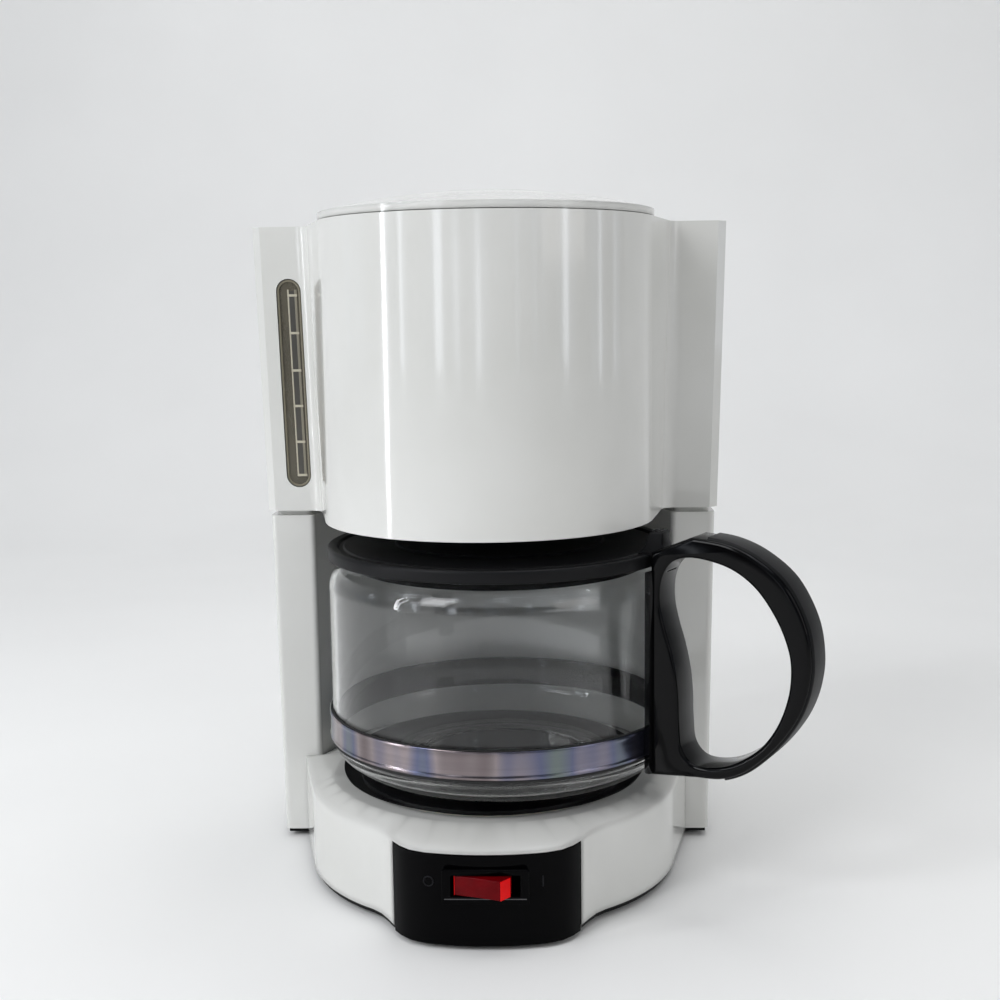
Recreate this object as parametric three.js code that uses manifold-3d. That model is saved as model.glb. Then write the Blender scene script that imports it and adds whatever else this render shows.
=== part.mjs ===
// Drip coffee maker with a glass carafe, in millimetres: +Z up, front towards -Y.
// Places are measured from the warming plate's axis at table level. The finished group is then moved so
// that its origin is the middle of the underside of its own box.
import * as THREE from "three";
import { mergeVertices } from "three/addons/utils/BufferGeometryUtils.js";
import Module from "manifold-3d";

const wasm = await Module();
wasm.setup();
const radians = THREE.MathUtils.degToRad;

// Fits and walls
const clearance = 0.3;
const overrun = 6;
const wall = 2.5;
const bossWall = 2.6;
const screwRadius = 1.4;
const screwHeadRadius = 3.3;
const screwHeadHeight = 1.6;
const screwLength = 12;

// Base, seen from above
const baseRadius = 68.5;
const baseFlareDegrees = 13;
const panelReach = 12;
const panelHalfWidth = 31;
const panelThickness = 2.5;
const panelFootDegrees = 35.7;
const panelCornerDegrees = 14.4;
const panelFootPull = 9;
const panelCornerPull = 12;
const panelLip = 0.6;
const panelSeat = 1;

// Base, heights
const undersideHeight = 1.6;
const basePlateThickness = 1.5;
const basePlateInset = 1;
const baseHeight = 32.6;
const crownHeight = 2.6;
const crownWidth = 8;
const dishDepth = 1.6;
const footRadius = 7;
const footStemRadius = 2.4;
const footBarbRadius = 3.2;
const footEdge = 11.3;
const footDegrees = 36.47;

// Warming plate and heater
const plateRadius = 49.7;
const plateThickness = 1.5;
const plateStand = 1.7;
const sealWidth = 3;
const sealThickness = 2.1;
const ledgeThickness = 2.4;
const ledgeWidth = 4;
const tubeRadius = 4.5;
const tubeBore = 3;
const tubeBendRadius = 33;
const tubeExitHeight = 22.3;
const tubeReach = 44;
const elementRadius = 3.2;
const elementReach = 9;
const clampWidth = 14;
const clampThickness = 1.5;
const studSpread = 12;
const studRadius = 3;
const clampScrewLength = 8;
const thermostatRadius = 7.5;
const thermostatThickness = 6;
const thermostatBodyRadius = 5.5;
const fuseRadius = 2.2;
const fuseLength = 20;

// Hoses and riser
const hoseWall = 1.8;
const hoseGrip = 10;
const inletAcross = -33;
const outletAcross = 45;
const hoseRow = 76;
const riserStart = 58;
const valveLength = 12;
const valveBore = 1.8;

// Switch
const switchHeight = 22.8;
const rockerHalfLength = 9;
const rockerHalfHeight = 3.3;
const rockerDepth = 8;
const rockerTiltDegrees = 18;
const rockerPivotDepth = 4.8;
const rockerPinRadius = 1.3;
const bezelThickness = 0.9;
const bezelWidth = 1;
const switchWall = 1;
const switchDepth = 11;
const terminalWidth = 4.8;
const terminalThickness = 0.8;
const terminalLength = 9;
const terminalSpread = 6;

// Tower
const columnFront = 20;
const columnHalfWidth = 84.6;
const columnEdgeRadius = 2.5;
const nicheRoom = 8.8;
const axisToBack = 98;
const rearCornerRadius = 14;
const carafeRoom = 0.4;
const towerDraftDegrees = 0.75;
const revealHeight = 1.7;
const revealDepth = 2;
const deckThickness = 2.2;
const passageHalfWidth = 58;
const coverThickness = 2.4;
const coverLedge = 3;
const coverHalfWidth = 66;
const coverPad = 1.5;
const coverScrewInset = 7;
const glandAcross = -50;
const glandHeight = 24;
const glandRadius = 5.7;
const glandBore = 3.6;
const glandFlangeRadius = 8;
const glandFlange = 1.8;

// Brew housing
const housingHalfWidth = 87.6;
const housingHeight = 107.3;
const housingDraftDegrees = 1.4;
const wingFront = 18;
const wingChamfer = 3.2;
const bulgeRadius = 60.5;
const creaseRadius = 4.5;
const creaseTurnDegrees = 14;
const openingMargin = 3.5;
const openingBack = 85;
const skirtThickness = 2;
const skirtDepth = 10;
const ledgeReach = 6;
const flangeGap = 1.5;
const dripHoleRadius = 13;
const pegRadius = 4;
const pegSpread = 66;
const windowAcross = -74.7;
const windowWidth = 9.4;
const windowDrop = 19.2;
const windowRise = 9.1;
const windowFlange = 1.8;
const windowFlangeThickness = 1.3;
const windowProud = 0.2;

// Reservoir
const tankWall = 2;
const tankGap = 2;
const tankStand = 7;
const tankTopDrop = 11;
const tankInnerHalfWidth = 58;
const tankRearFront = 57.5;
const spoutDrop = 24;

// Top lid
const lidEdge = 2.4;
const lidRise = 8.3;
const lidBack = 87;
const lidWall = 2.2;
const lidInset = 0.2;
const hingeBack = 91.4;
const hingeRise = 3.6;
const hingePinRadius = 1.3;
const knuckleRadius = 3.1;
const knuckleLength = 10;
const hingeSpread = 38;
const earLength = 4;
const spreaderWidth = 16;
const spreaderRise = 0.2;
const spreaderDepth = 5.4;
const spreaderRadius = 27;
const spreaderWall = 1.6;
const spreaderHoleRadius = 1.8;
const spreaderHoleShare = 0.72;
const lidPegShare = 0.72;
const spreaderPegRadius = 2.2;
const spreaderPegHeight = 3;

// Filter basket
const basketTopRadius = 50;
const basketBottomRadius = 38;
const basketDepth = 84;
const basketWall = 1.8;
const basketFlange = 1.5;
const nozzleRadius = 8;
const nozzleLength = 16;


// Carafe
const carafeAcross = 3.4;
const carafeRadius = 63.2;
const carafeHeight = 81.5;
const glassWall = 2;
const neckInset = 5.9;
const shoulderHeight = 10.4;
const bellyHeight = 14.6;
const footRingRadius = 40;
const footRingWidth = 3.5;
const puntRadius = 30;
const bellyShares = [0.82, 0.2, 0.95, 0.56];
const shoulderShares = [0.3, 0.5];
const puntHeight = 3.6;
const bandThickness = 0.8;
const bandHeight = 10;
const bandRise = 15.5;
const bracketWidth = 8;
const bracketReach = 5.5;
const bracketMargin = 1;
const lidOverhang = 0.2;
const lidRimHeight = 4.6;
const lidDoorThickness = 1.8;
const lidBossHeight = 2.1;
const lidBossRadius = 5;
const lidRingRadius = 37.5;
const lidRingHeight = 0.6;
const lidPlugDepth = 5;
const lidPlugGap = 1.2;
const lidHoleRadius = 2;
const lidHoleSpread = 11;
const tabReach = 5;
const tabRise = 8;
const tabThickness = 4.5;

// Carafe handle, in its own upright plane
const handleDegrees = 29;
const handleThickness = 15;
const handleLength = 57.9;
const handleRise = 8.2;
const handleHeight = 86;
const handleBevel = 1.2;
const carafePinSetback = 2.6;
const carafePinRise = 4;
const carafePinRadius = 1;
const carafeKnuckleRadius = 2.3;
const carafeKnuckleWidth = 7;
const bandScrewLength = 5;
const handleShoulder = 7;

// Outer edge of the grip and edge of the finger hole, as shares of the handle's reach and height
const gripShares = [
  [0.3, 0], [0.45, 0.015], [0.585, 0.055], [0.71, 0.122], [0.835, 0.217], [0.93, 0.32], [0.985, 0.43],
  [1, 0.55], [0.96, 0.693], [0.838, 0.84], [0.66, 0.935], [0.47, 0.985], [0.257, 1],
];
const fingerShares = [
  [0.19, 0.903], [0.314, 0.907], [0.5, 0.877], [0.653, 0.808], [0.774, 0.699], [0.845, 0.59],
  [0.866, 0.5], [0.85, 0.392], [0.785, 0.27], [0.67, 0.165], [0.485, 0.085], [0.3, 0.068],
  [0.205, 0.12], [0.184, 0.22], [0.178, 0.33], [0.162, 0.43], [0.128, 0.53], [0.086, 0.62],
  [0.057, 0.71], [0.062, 0.8], [0.11, 0.87],
];

// Leads
const leadRadius = 1.1;
const leadStraight = 5.4;
const leadGrip = 2.7;

// Counts of steps round curves and of repeated features
const fineSteps = 40;
const roundSteps = 24;
const smallSteps = 12;
const planSteps = 6;
const pipeSides = 8;
const lidHoleCount = 6;
const spreaderHoleCount = 8;

// Heights that follow from the sizes above
const shellBottom = undersideHeight + basePlateThickness + clearance;
const baseTop = shellBottom + baseHeight;
const dishFloor = baseTop - dishDepth;
const shellCeiling = dishFloor - wall;
const basePlateTop = undersideHeight + basePlateThickness;
const pocketTop = undersideHeight + screwHeadHeight + clearance;
const dimpleTop = pocketTop + basePlateThickness;
const bossBottom = dimpleTop + clearance;
const plateTop = dishFloor + plateStand;
const plateBottom = plateTop - plateThickness;
const ledgeTop = plateBottom - clearance - sealThickness - clearance;
const ledgeBottom = ledgeTop - ledgeThickness;
const tubeHeight = plateBottom - clearance - tubeRadius;
const elementHeight = tubeHeight - tubeRadius - clearance - elementRadius;
const clampTop = elementHeight - elementRadius - clearance;
const clampBottom = clampTop - clampThickness;
const carafeBottom = plateTop + clearance;
const glassTop = carafeBottom + carafeHeight;
const lidRimBottom = glassTop + clearance;
const lidRimTop = lidRimBottom + lidRimHeight;
const lidBossTop = lidRimTop + lidBossHeight;
const bandBottom = carafeBottom + bandRise;
const bandTop = bandBottom + bandHeight;
const bandMiddle = (bandBottom + bandTop) / 2;
const carafePinHeight = lidRimBottom + carafePinRise;
const handleTop = lidRimTop + handleRise;
const handleBottom = handleTop - handleHeight;
const towerTop = handleTop + carafeRoom - revealHeight;
const towerHeight = towerTop - shellBottom;
const deckTop = towerTop + revealHeight;
const deckBottom = deckTop - deckThickness;
const housingBottom = deckTop + clearance;
const housingTop = housingBottom + housingHeight;
const windowBottom = housingBottom + windowRise;
const windowTop = housingTop - windowDrop;
const floorTop = housingBottom + wall;
const tankBottom = floorTop + tankStand;
const tankTop = housingTop - tankTopDrop;
const ledgeRingTop = housingTop - skirtDepth + wall;
const basketRim = ledgeRingTop + clearance + basketFlange;
const basketFloor = basketRim - basketDepth;
const nozzleBottom = basketFloor - nozzleLength;
const lidBottom = housingTop + clearance;
const hingeHeight = housingTop + hingeRise;
const spreaderTop = lidBottom + spreaderRise;

// Places in plan that follow from the sizes above
const hoseBore = (tubeRadius + clearance) / Math.cos(Math.PI / pipeSides);
const hoseRadius = hoseBore + hoseWall;
const nicheRadius = carafeRadius + nicheRoom;
const mouthRadius = carafeRadius - neckInset;
const lidRadius = carafeRadius + lidOverhang;
const bandOuterRadius = carafeRadius + clearance + bandThickness;
const handleFace = bandOuterRadius + clearance;
const handleReach = handleFace + handleLength;
const carafePinReach = handleFace - clearance + carafePinSetback;
const bandScrewSeat = bandOuterRadius + bracketReach + clearance + bossWall;
const openingRadius = bulgeRadius - openingMargin;
const lidHalfWidth = bulgeRadius - lidInset;
const footRing = baseRadius - footEdge;
const footSpread = footRing * Math.cos(radians(footDegrees));
const footSetback = footRing * Math.sin(radians(footDegrees));
const dishRadius = baseRadius - crownWidth;
const panelRadius = baseRadius + panelReach;
const panelFace = -panelRadius;
const rockerPivotY = panelFace + rockerPivotDepth;
const panelSides = -baseRadius * Math.cos(radians(panelFootDegrees)) + panelSeat;
const plateOpening = plateRadius + clearance;
const coverBack = axisToBack - clearance;
const coverFront = coverBack - coverThickness;

// Colours
const white = { color: 0xeeeeec, roughness: 0.25, metalness: 0 };
const black = { color: 0x121214, roughness: 0.4, metalness: 0 };
const red = { color: 0xc81414, roughness: 0.3, metalness: 0 };
const smoke = { color: 0x4a3b2c, roughness: 0.2, metalness: 0 };
const steel = { color: 0xb9bcc0, roughness: 0.3, metalness: 1 };
const aluminium = { color: 0xc4c6c8, roughness: 0.45, metalness: 1 };
const brass = { color: 0xb5924c, roughness: 0.35, metalness: 1 };
const clearGlass = { color: 0xdfe8e6, roughness: 0.05, metalness: 0 };
const silicone = { color: 0xd9d6cc, roughness: 0.7, metalness: 0 };
const rubber = { color: 0x1a1a1a, roughness: 0.9, metalness: 0 };
const nylon = { color: 0xe4e1d6, roughness: 0.5, metalness: 0 };

const maker = new THREE.Group();

// Solids

function solidOf(geometry) {
  const bare = geometry.index ? geometry.toNonIndexed() : geometry.clone();
  for (const name of Object.keys(bare.attributes)) {
    if (name !== "position") bare.deleteAttribute(name);
  }
  const merged = mergeVertices(bare, clearance / 100);
  const triVerts = new Uint32Array(merged.index.array);
  const vertProperties = merged.attributes.position.array;
  const solid = new wasm.Manifold(new wasm.Mesh({ numProp: 3, vertProperties, triVerts }));
  if (solid.volume() > 0) return solid;
  for (let i = 0; i < triVerts.length; i += 3) {
    [triVerts[i + 1], triVerts[i + 2]] = [triVerts[i + 2], triVerts[i + 1]];
  }
  return new wasm.Manifold(new wasm.Mesh({ numProp: 3, vertProperties, triVerts }));
}

function geometryOf(solid) {
  const mesh = solid.getMesh();
  const positions = new Float32Array(mesh.numVert * 3);
  for (let i = 0; i < mesh.numVert; i++) {
    positions.set(mesh.vertProperties.subarray(i * mesh.numProp, i * mesh.numProp + 3), i * 3);
  }
  const geometry = new THREE.BufferGeometry();
  geometry.setAttribute("position", new THREE.BufferAttribute(positions, 3));
  geometry.setIndex(new THREE.BufferAttribute(new Uint32Array(mesh.triVerts), 1));
  geometry.computeVertexNormals();
  return geometry;
}

function addPart(name, solid, look, group = maker) {
  const mesh = new THREE.Mesh(geometryOf(solid), new THREE.MeshStandardMaterial(look));
  mesh.name = name;
  group.add(mesh);
  return mesh;
}

const join = (...solids) => solids.reduce((sum, solid) => sum.add(solid));
const cut = (solid, ...tools) => tools.reduce((rest, tool) => rest.subtract(tool), solid);

// An outline in plan, stood up between two heights
function upright(shape, bottom, top, steps = planSteps) {
  const geometry = new THREE.ExtrudeGeometry(shape, {
    depth: top - bottom,
    bevelEnabled: false,
    curveSegments: steps,
  });
  return geometry.translate(0, 0, bottom);
}

const prism = (shape, bottom, top, steps) => solidOf(upright(shape, bottom, top, steps));

function block(x, y, z) {
  const size = [x[1] - x[0], y[1] - y[0], z[1] - z[0]];
  const middle = [(x[0] + x[1]) / 2, (y[0] + y[1]) / 2, (z[0] + z[1]) / 2];
  return solidOf(new THREE.BoxGeometry(...size).translate(...middle));
}

function post(radius, bottom, top, x = 0, y = 0, steps = smallSteps) {
  const geometry = new THREE.CylinderGeometry(radius, radius, top - bottom, steps);
  geometry.rotateX(Math.PI / 2).translate(x, y, (bottom + top) / 2);
  return solidOf(geometry);
}

function rodX(radius, from, to, y, z, steps = smallSteps) {
  const geometry = new THREE.CylinderGeometry(radius, radius, to - from, steps);
  geometry.rotateZ(Math.PI / 2).translate((from + to) / 2, y, z);
  return solidOf(geometry);
}

function rodY(radius, from, to, x, z, steps = smallSteps) {
  const geometry = new THREE.CylinderGeometry(radius, radius, to - from, steps);
  return solidOf(geometry.translate(x, (from + to) / 2, z));
}

// A profile of [radius, height] points turned about a vertical axis
function turned(points, steps = roundSteps, x = 0, y = 0) {
  const closed = [...points, points[0]].map(([r, z]) => new THREE.Vector2(r, z));
  const geometry = new THREE.LatheGeometry(closed, steps);
  return solidOf(geometry.rotateX(Math.PI / 2).translate(x, y, 0));
}

const ring = (outer, inner, bottom, top, steps) =>
  turned([[inner, bottom], [outer, bottom], [outer, top], [inner, top]], steps);

function circleOf(radius, sides) {
  const shape = new THREE.Shape();
  for (let i = 0; i < sides; i++) {
    const angle = (i * 2 * Math.PI) / sides;
    shape[i ? "lineTo" : "moveTo"](radius * Math.cos(angle), radius * Math.sin(angle));
  }
  shape.closePath();
  return shape;
}

// A round bar or, with a bore, a pipe, along a curve through points
function pipe(points, radius, bore, steps, sides = pipeSides) {
  const curve = new THREE.CatmullRomCurve3(points.map((p) => new THREE.Vector3(...p)), false,
      "centripetal");
  const section = circleOf(radius, sides);
  if (bore) section.holes.push(circleOf(bore, sides));
  return solidOf(new THREE.ExtrudeGeometry(section, { steps, extrudePath: curve, bevelEnabled: false }));
}

// A screw whose head lies below its origin and whose shank points up
function screwSolid(length = screwLength) {
  return join(post(screwHeadRadius, -screwHeadHeight, 0), post(screwRadius, -screwHeadHeight / 2, length));
}

const screwHole = screwRadius + clearance;
const dimpleRadius = screwHeadRadius + clearance + basePlateThickness;

// Outlines in plan

const onCircle = (radius, degrees) =>
  [radius * Math.cos(radians(degrees)), radius * Math.sin(radians(degrees))];

const along = ([x, y], degrees, length) =>
  [x - length * Math.sin(radians(degrees)), y + length * Math.cos(radians(degrees))];

const flareReach = (inset, back) => {
  const radius = baseRadius - inset;
  const angle = radians(baseFlareDegrees);
  return radius * Math.cos(angle) + (back + radius * Math.sin(angle)) * Math.tan(angle);
};

// Round front, swelling out round the control panel, with sides that flare towards the tower
function baseOutline(inset, back) {
  const radius = baseRadius - inset;
  const front = panelRadius - inset;
  const reach = flareReach(inset, back);
  const [footLeft, cornerLeft] = [270 - panelFootDegrees, 270 - panelCornerDegrees];
  const [cornerRight, footRight] = [270 + panelCornerDegrees, 270 + panelFootDegrees];
  const leftFoot = onCircle(radius, footLeft);
  const leftCorner = onCircle(front, cornerLeft);
  const rightCorner = onCircle(front, cornerRight);
  const rightFoot = onCircle(radius, footRight);
  const shape = new THREE.Shape();
  shape.moveTo(-reach, back);
  shape.lineTo(...onCircle(radius, 180 + baseFlareDegrees));
  shape.absarc(0, 0, radius, radians(180 + baseFlareDegrees), radians(footLeft));
  shape.bezierCurveTo(
    ...along(leftFoot, footLeft, panelFootPull),
    ...along(leftCorner, cornerLeft, -panelCornerPull),
    ...leftCorner,
  );
  shape.absarc(0, 0, front, radians(cornerLeft), radians(cornerRight));
  shape.bezierCurveTo(
    ...along(rightCorner, cornerRight, panelCornerPull),
    ...along(rightFoot, footRight, -panelFootPull),
    ...rightFoot,
  );
  shape.absarc(0, 0, radius, radians(footRight), radians(360 - baseFlareDegrees));
  shape.lineTo(reach, back);
  shape.closePath();
  return shape;
}

// The same front, carried on round the back of the warming plate inside the niche
function baseTopOutline(inset) {
  const back = columnFront - clearance;
  const niche = nicheRadius - clearance;
  const turn = Math.asin(back / niche);
  const front = baseOutline(inset, back).extractPoints(planSteps).shape.slice(0, -1);
  const shape = new THREE.Shape();
  shape.absarc(0, 0, niche, turn, Math.PI - turn);
  for (const point of front) shape.lineTo(point.x, point.y);
  shape.closePath();
  return shape;
}

// Two columns joined behind a round niche
function towerOutline(inset) {
  const half = columnHalfWidth - inset;
  const front = columnFront + inset;
  const back = axisToBack - inset;
  const niche = nicheRadius + inset;
  const edge = columnEdgeRadius;
  const corner = rearCornerRadius - inset;
  const nicheAngle = Math.asin((front + edge) / niche);
  const [nicheX, nicheY] = [niche * Math.cos(nicheAngle), niche * Math.sin(nicheAngle)];
  const shape = new THREE.Shape();
  shape.moveTo(-half + edge, front);
  shape.lineTo(-nicheX - edge, front);
  shape.quadraticCurveTo(-nicheX, front, -nicheX, nicheY);
  shape.absarc(0, 0, niche, Math.PI - nicheAngle, nicheAngle, true);
  shape.quadraticCurveTo(nicheX, front, nicheX + edge, front);
  shape.lineTo(half - edge, front);
  shape.quadraticCurveTo(half, front, half, front + edge);
  shape.lineTo(half, back - corner);
  shape.quadraticCurveTo(half, back, half - corner, back);
  shape.lineTo(corner - half, back);
  shape.quadraticCurveTo(-half, back, -half, back - corner);
  shape.lineTo(-half, front + edge);
  shape.quadraticCurveTo(-half, front, -half + edge, front);
  return shape;
}

// The tower's own area without the niche
function towerPlan(inset) {
  const half = columnHalfWidth - inset;
  const back = axisToBack - inset;
  const corner = rearCornerRadius - inset;
  const shape = new THREE.Shape();
  shape.moveTo(-half, columnFront + inset);
  shape.lineTo(half, columnFront + inset);
  shape.lineTo(half, back - corner);
  shape.quadraticCurveTo(half, back, half - corner, back);
  shape.lineTo(corner - half, back);
  shape.quadraticCurveTo(-half, back, -half, back - corner);
  shape.closePath();
  return shape;
}

// Round bulge at the front, a hollow crease on each side of it, and two flat wings
function housingOutline(inset) {
  const half = housingHalfWidth - inset;
  const front = wingFront + inset;
  const back = axisToBack - inset;
  const bulge = bulgeRadius - inset;
  const crease = creaseRadius + inset;
  const corner = rearCornerRadius - inset;
  const turn = radians(creaseTurnDegrees);
  const fold = bulge * Math.cos(turn) + (front + bulge * Math.sin(turn)) * Math.tan(turn);
  const [foldX, foldY] = [fold - crease * Math.sin(turn), front - crease * Math.cos(turn)];
  const shape = new THREE.Shape();
  shape.moveTo(-half, front + wingChamfer);
  shape.lineTo(-half + wingChamfer, front);
  shape.lineTo(-fold - crease, front);
  shape.quadraticCurveTo(-fold, front, -foldX, foldY);
  shape.absarc(0, 0, bulge, Math.PI + turn, 2 * Math.PI - turn);
  shape.lineTo(foldX, foldY);
  shape.quadraticCurveTo(fold, front, fold + crease, front);
  shape.lineTo(half - wingChamfer, front);
  shape.lineTo(half, front + wingChamfer);
  shape.lineTo(half, back - corner);
  shape.quadraticCurveTo(half, back, half - corner, back);
  shape.lineTo(corner - half, back);
  shape.quadraticCurveTo(-half, back, -half, back - corner);
  shape.closePath();
  return shape;
}

// Half round in front, straight sides running back
function lidOutline(half, back) {
  const shape = new THREE.Shape();
  shape.absarc(0, 0, half, Math.PI, 2 * Math.PI);
  shape.lineTo(half, back);
  shape.lineTo(-half, back);
  shape.closePath();
  return shape;
}

// Two wings and a rear part round the basket
function tankOutline(inset) {
  const half = housingHalfWidth - wall - tankGap - inset;
  const front = wingFront + wall + tankGap + inset;
  const back = axisToBack - wall - tankGap - inset;
  const inner = tankInnerHalfWidth + inset;
  const rear = tankRearFront + inset;
  const shape = new THREE.Shape();
  shape.moveTo(-half, front + wingChamfer);
  shape.lineTo(wingChamfer - half, front);
  shape.lineTo(-inner, front);
  shape.lineTo(-inner, rear);
  shape.lineTo(inner, rear);
  shape.lineTo(inner, front);
  shape.lineTo(half - wingChamfer, front);
  shape.lineTo(half, front + wingChamfer);
  shape.lineTo(half, back - rearCornerRadius);
  shape.quadraticCurveTo(half, back, half - rearCornerRadius, back);
  shape.lineTo(rearCornerRadius - half, back);
  shape.quadraticCurveTo(-half, back, -half, back - rearCornerRadius);
  shape.closePath();
  return shape;
}

// Sides that lean outwards as they rise, as moulded sides do; what lies within `within` stays upright
function lean(solid, degrees, middle, within) {
  const geometry = geometryOf(solid);
  const place = geometry.attributes.position;
  for (let i = 0; i < place.count; i++) {
    const x = place.getX(i);
    const share = THREE.MathUtils.clamp((Math.abs(x) - within) / creaseRadius, 0, 1);
    const shift = share * Math.tan(radians(degrees)) * (place.getZ(i) - middle);
    place.setX(i, x + Math.sign(x) * shift);
  }
  return solidOf(geometry);
}

const leanHousing = (solid) =>
  lean(solid, housingDraftDegrees, (housingBottom + housingTop) / 2, bulgeRadius);
const leanTower = (solid) =>
  lean(solid, towerDraftDegrees, (shellBottom + towerTop) / 2, nicheRadius);

// Base

const shellBosses = [-1, 1].map((side) => [side * footSpread, -footSetback + footRadius + bossWall]);
const towerSlack = Math.tan(radians(towerDraftDegrees)) * towerHeight / 2;
const housingSlack = Math.tan(radians(housingDraftDegrees)) * housingHeight / 2;
const towerBossEnd = columnHalfWidth - wall / 2 - towerSlack;
const lugEnd = housingHalfWidth - wall / 2 - housingSlack;
const towerBosses = [-1, 1].map((side) => [
  side * (columnHalfWidth - wall - towerSlack - dimpleRadius - clearance),
  axisToBack - rearCornerRadius - footRadius - bossWall,
]);
const feet = [
  ["foot_front_left", -footSpread, -footSetback],
  ["foot_front_right", footSpread, -footSetback],
  ["foot_rear_left", -footSpread - footRadius, axisToBack - rearCornerRadius],
  ["foot_rear_right", footSpread + footRadius, axisToBack - rearCornerRadius],
];

// Rings that follow an outline, each at a share of its way out from the middle and at its own height
function ringed(outline, levels, middle = [0, 0], steps = planSteps) {
  const { shape: points } = outline.extractPoints(steps);
  const profile = levels.map(([, z]) => new THREE.Vector2(1, z));
  const geometry = new THREE.LatheGeometry(profile, points.length);
  const place = geometry.attributes.position;
  for (let i = 0; i < place.count; i++) {
    const point = points[Math.floor(i / levels.length) % points.length];
    const [reach, z] = levels[i % levels.length];
    const share = typeof reach === "function" ? reach(point) : reach;
    const x = THREE.MathUtils.lerp(middle[0], point.x, share);
    const y = THREE.MathUtils.lerp(middle[1], point.y, share);
    place.setXYZ(i, x, y, z);
  }
  return solidOf(geometry);
}

function makeBaseShell() {
  const back = columnFront - clearance;
  const far = panelRadius * 2;
  const wallTop = baseTop - crownHeight;
  const drawnIn = (point) => dishRadius / point.length();
  const outside = ringed(baseTopOutline(0),
    [[0, shellBottom], [1, shellBottom], [1, wallTop], [drawnIn, baseTop], [0, baseTop]]);
  const inside = prism(baseOutline(wall, back + overrun), shellBottom - overrun, shellCeiling);
  const behind = block([-far, far], [back - clearance, far], [shellBottom - overrun, shellCeiling]);
  const ledge = post(plateOpening + ledgeWidth, ledgeBottom, wallTop, 0, 0, fineSteps);
  const bosses = shellBosses.map(([x, y]) => post(screwHole + bossWall, bossBottom,
      shellCeiling + wall / 2, x, y));
  const dish = turned(
    [[0, dishFloor],
      [plateOpening + ledgeWidth, dishFloor], [dishRadius, baseTop], [dishRadius, baseTop + overrun],
      [0, baseTop + overrun]],
    fineSteps,
  );
  const seat = post(plateOpening, ledgeTop, baseTop, 0, 0, fineSteps);
  const hole = post(plateOpening - sealWidth, ledgeBottom - overrun, baseTop, 0, 0, fineSteps);
  const panelGap = block(
    [-panelHalfWidth - clearance, panelHalfWidth + clearance],
    [-far, panelSides + clearance],
    [shellBottom - overrun, wallTop - panelLip],
  );
  const drills = shellBosses.map(([x, y]) =>
    post(screwHole, shellBottom - overrun, shellBottom + screwLength + overrun, x, y));
  return cut(join(cut(outside, inside, behind), ledge, ...bosses), dish, seat, hole, panelGap, ...drills);
}

function makeBasePlate() {
  const top = undersideHeight + basePlateThickness;
  const sheet = join(
    prism(baseOutline(basePlateInset, columnFront + overrun), undersideHeight, top),
    prism(towerPlan(basePlateInset + towerSlack), undersideHeight, top),
  );
  const screws = [...shellBosses, ...towerBosses];
  const dimples = screws.map(([x, y]) => post(dimpleRadius, undersideHeight, dimpleTop, x, y));
  const pockets = screws.map(([x, y]) => post(dimpleRadius - basePlateThickness, 0, pocketTop, x, y));
  const drills = screws.map(([x, y]) => post(screwHole, 0, dimpleTop + overrun, x, y));
  const stems = feet.map(([, x, y]) => post(footStemRadius + clearance, 0, top + overrun, x, y));
  const panelRoom = block(
    [-panelHalfWidth - clearance, panelHalfWidth + clearance],
    [-panelRadius, panelSides + clearance],
    [0, top + overrun],
  );
  const behindPanel = prism(baseOutline(panelThickness + clearance, overrun), undersideHeight, top);
  return cut(join(cut(sheet, panelRoom), behindPanel, ...dimples), ...pockets, ...drills, ...stems);
}

function makeFoot(x, y) {
  const pad = undersideHeight - clearance;
  const barb = basePlateTop + clearance;
  const points = [
    [0, 0],
    [footRadius - clearance, 0],
    [footRadius, pad / 2],
    [footRadius, pad],
    [footStemRadius, pad],
    [footStemRadius, barb],
    [footBarbRadius, barb],
    [footStemRadius / 2, barb + footStemRadius],
    [0, barb + footStemRadius],
  ];
  return turned(points, smallSteps, x, y);
}

function makeControlPanel() {
  const top = baseTop - crownHeight - panelLip - clearance;
  const skin = cut(
    prism(baseOutline(0, 0), undersideHeight, top),
    prism(baseOutline(panelThickness, overrun), undersideHeight - overrun, top + overrun),
  );
  const reach = block(
    [-panelHalfWidth, panelHalfWidth],
    [-panelRadius - overrun, -baseRadius * Math.cos(radians(panelFootDegrees)) - clearance],
    [undersideHeight, top],
  );
  const opening = block(
    [-switchOpening - clearance, switchOpening + clearance],
    [-panelRadius - overrun, -baseRadius],
    [switchHeight - switchHalfHeight - clearance, switchHeight + switchHalfHeight + clearance],
  );
  return cut(skin.intersect(reach), opening);
}

// Switch: the rocker turns on an upright axis, and its right end stands out while it is off

const rockerTilt = radians(rockerTiltDegrees);
const rockerSweep = rockerHalfLength * Math.cos(rockerTilt) + rockerDepth * Math.sin(rockerTilt);
const cavityHalf = rockerSweep + clearance;
const switchOpening = cavityHalf + switchWall;
const cavityHalfHeight = rockerHalfHeight + clearance;
const switchHalfHeight = cavityHalfHeight + switchWall;
const switchBack = panelFace + switchDepth + rockerPivotDepth;

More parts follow.
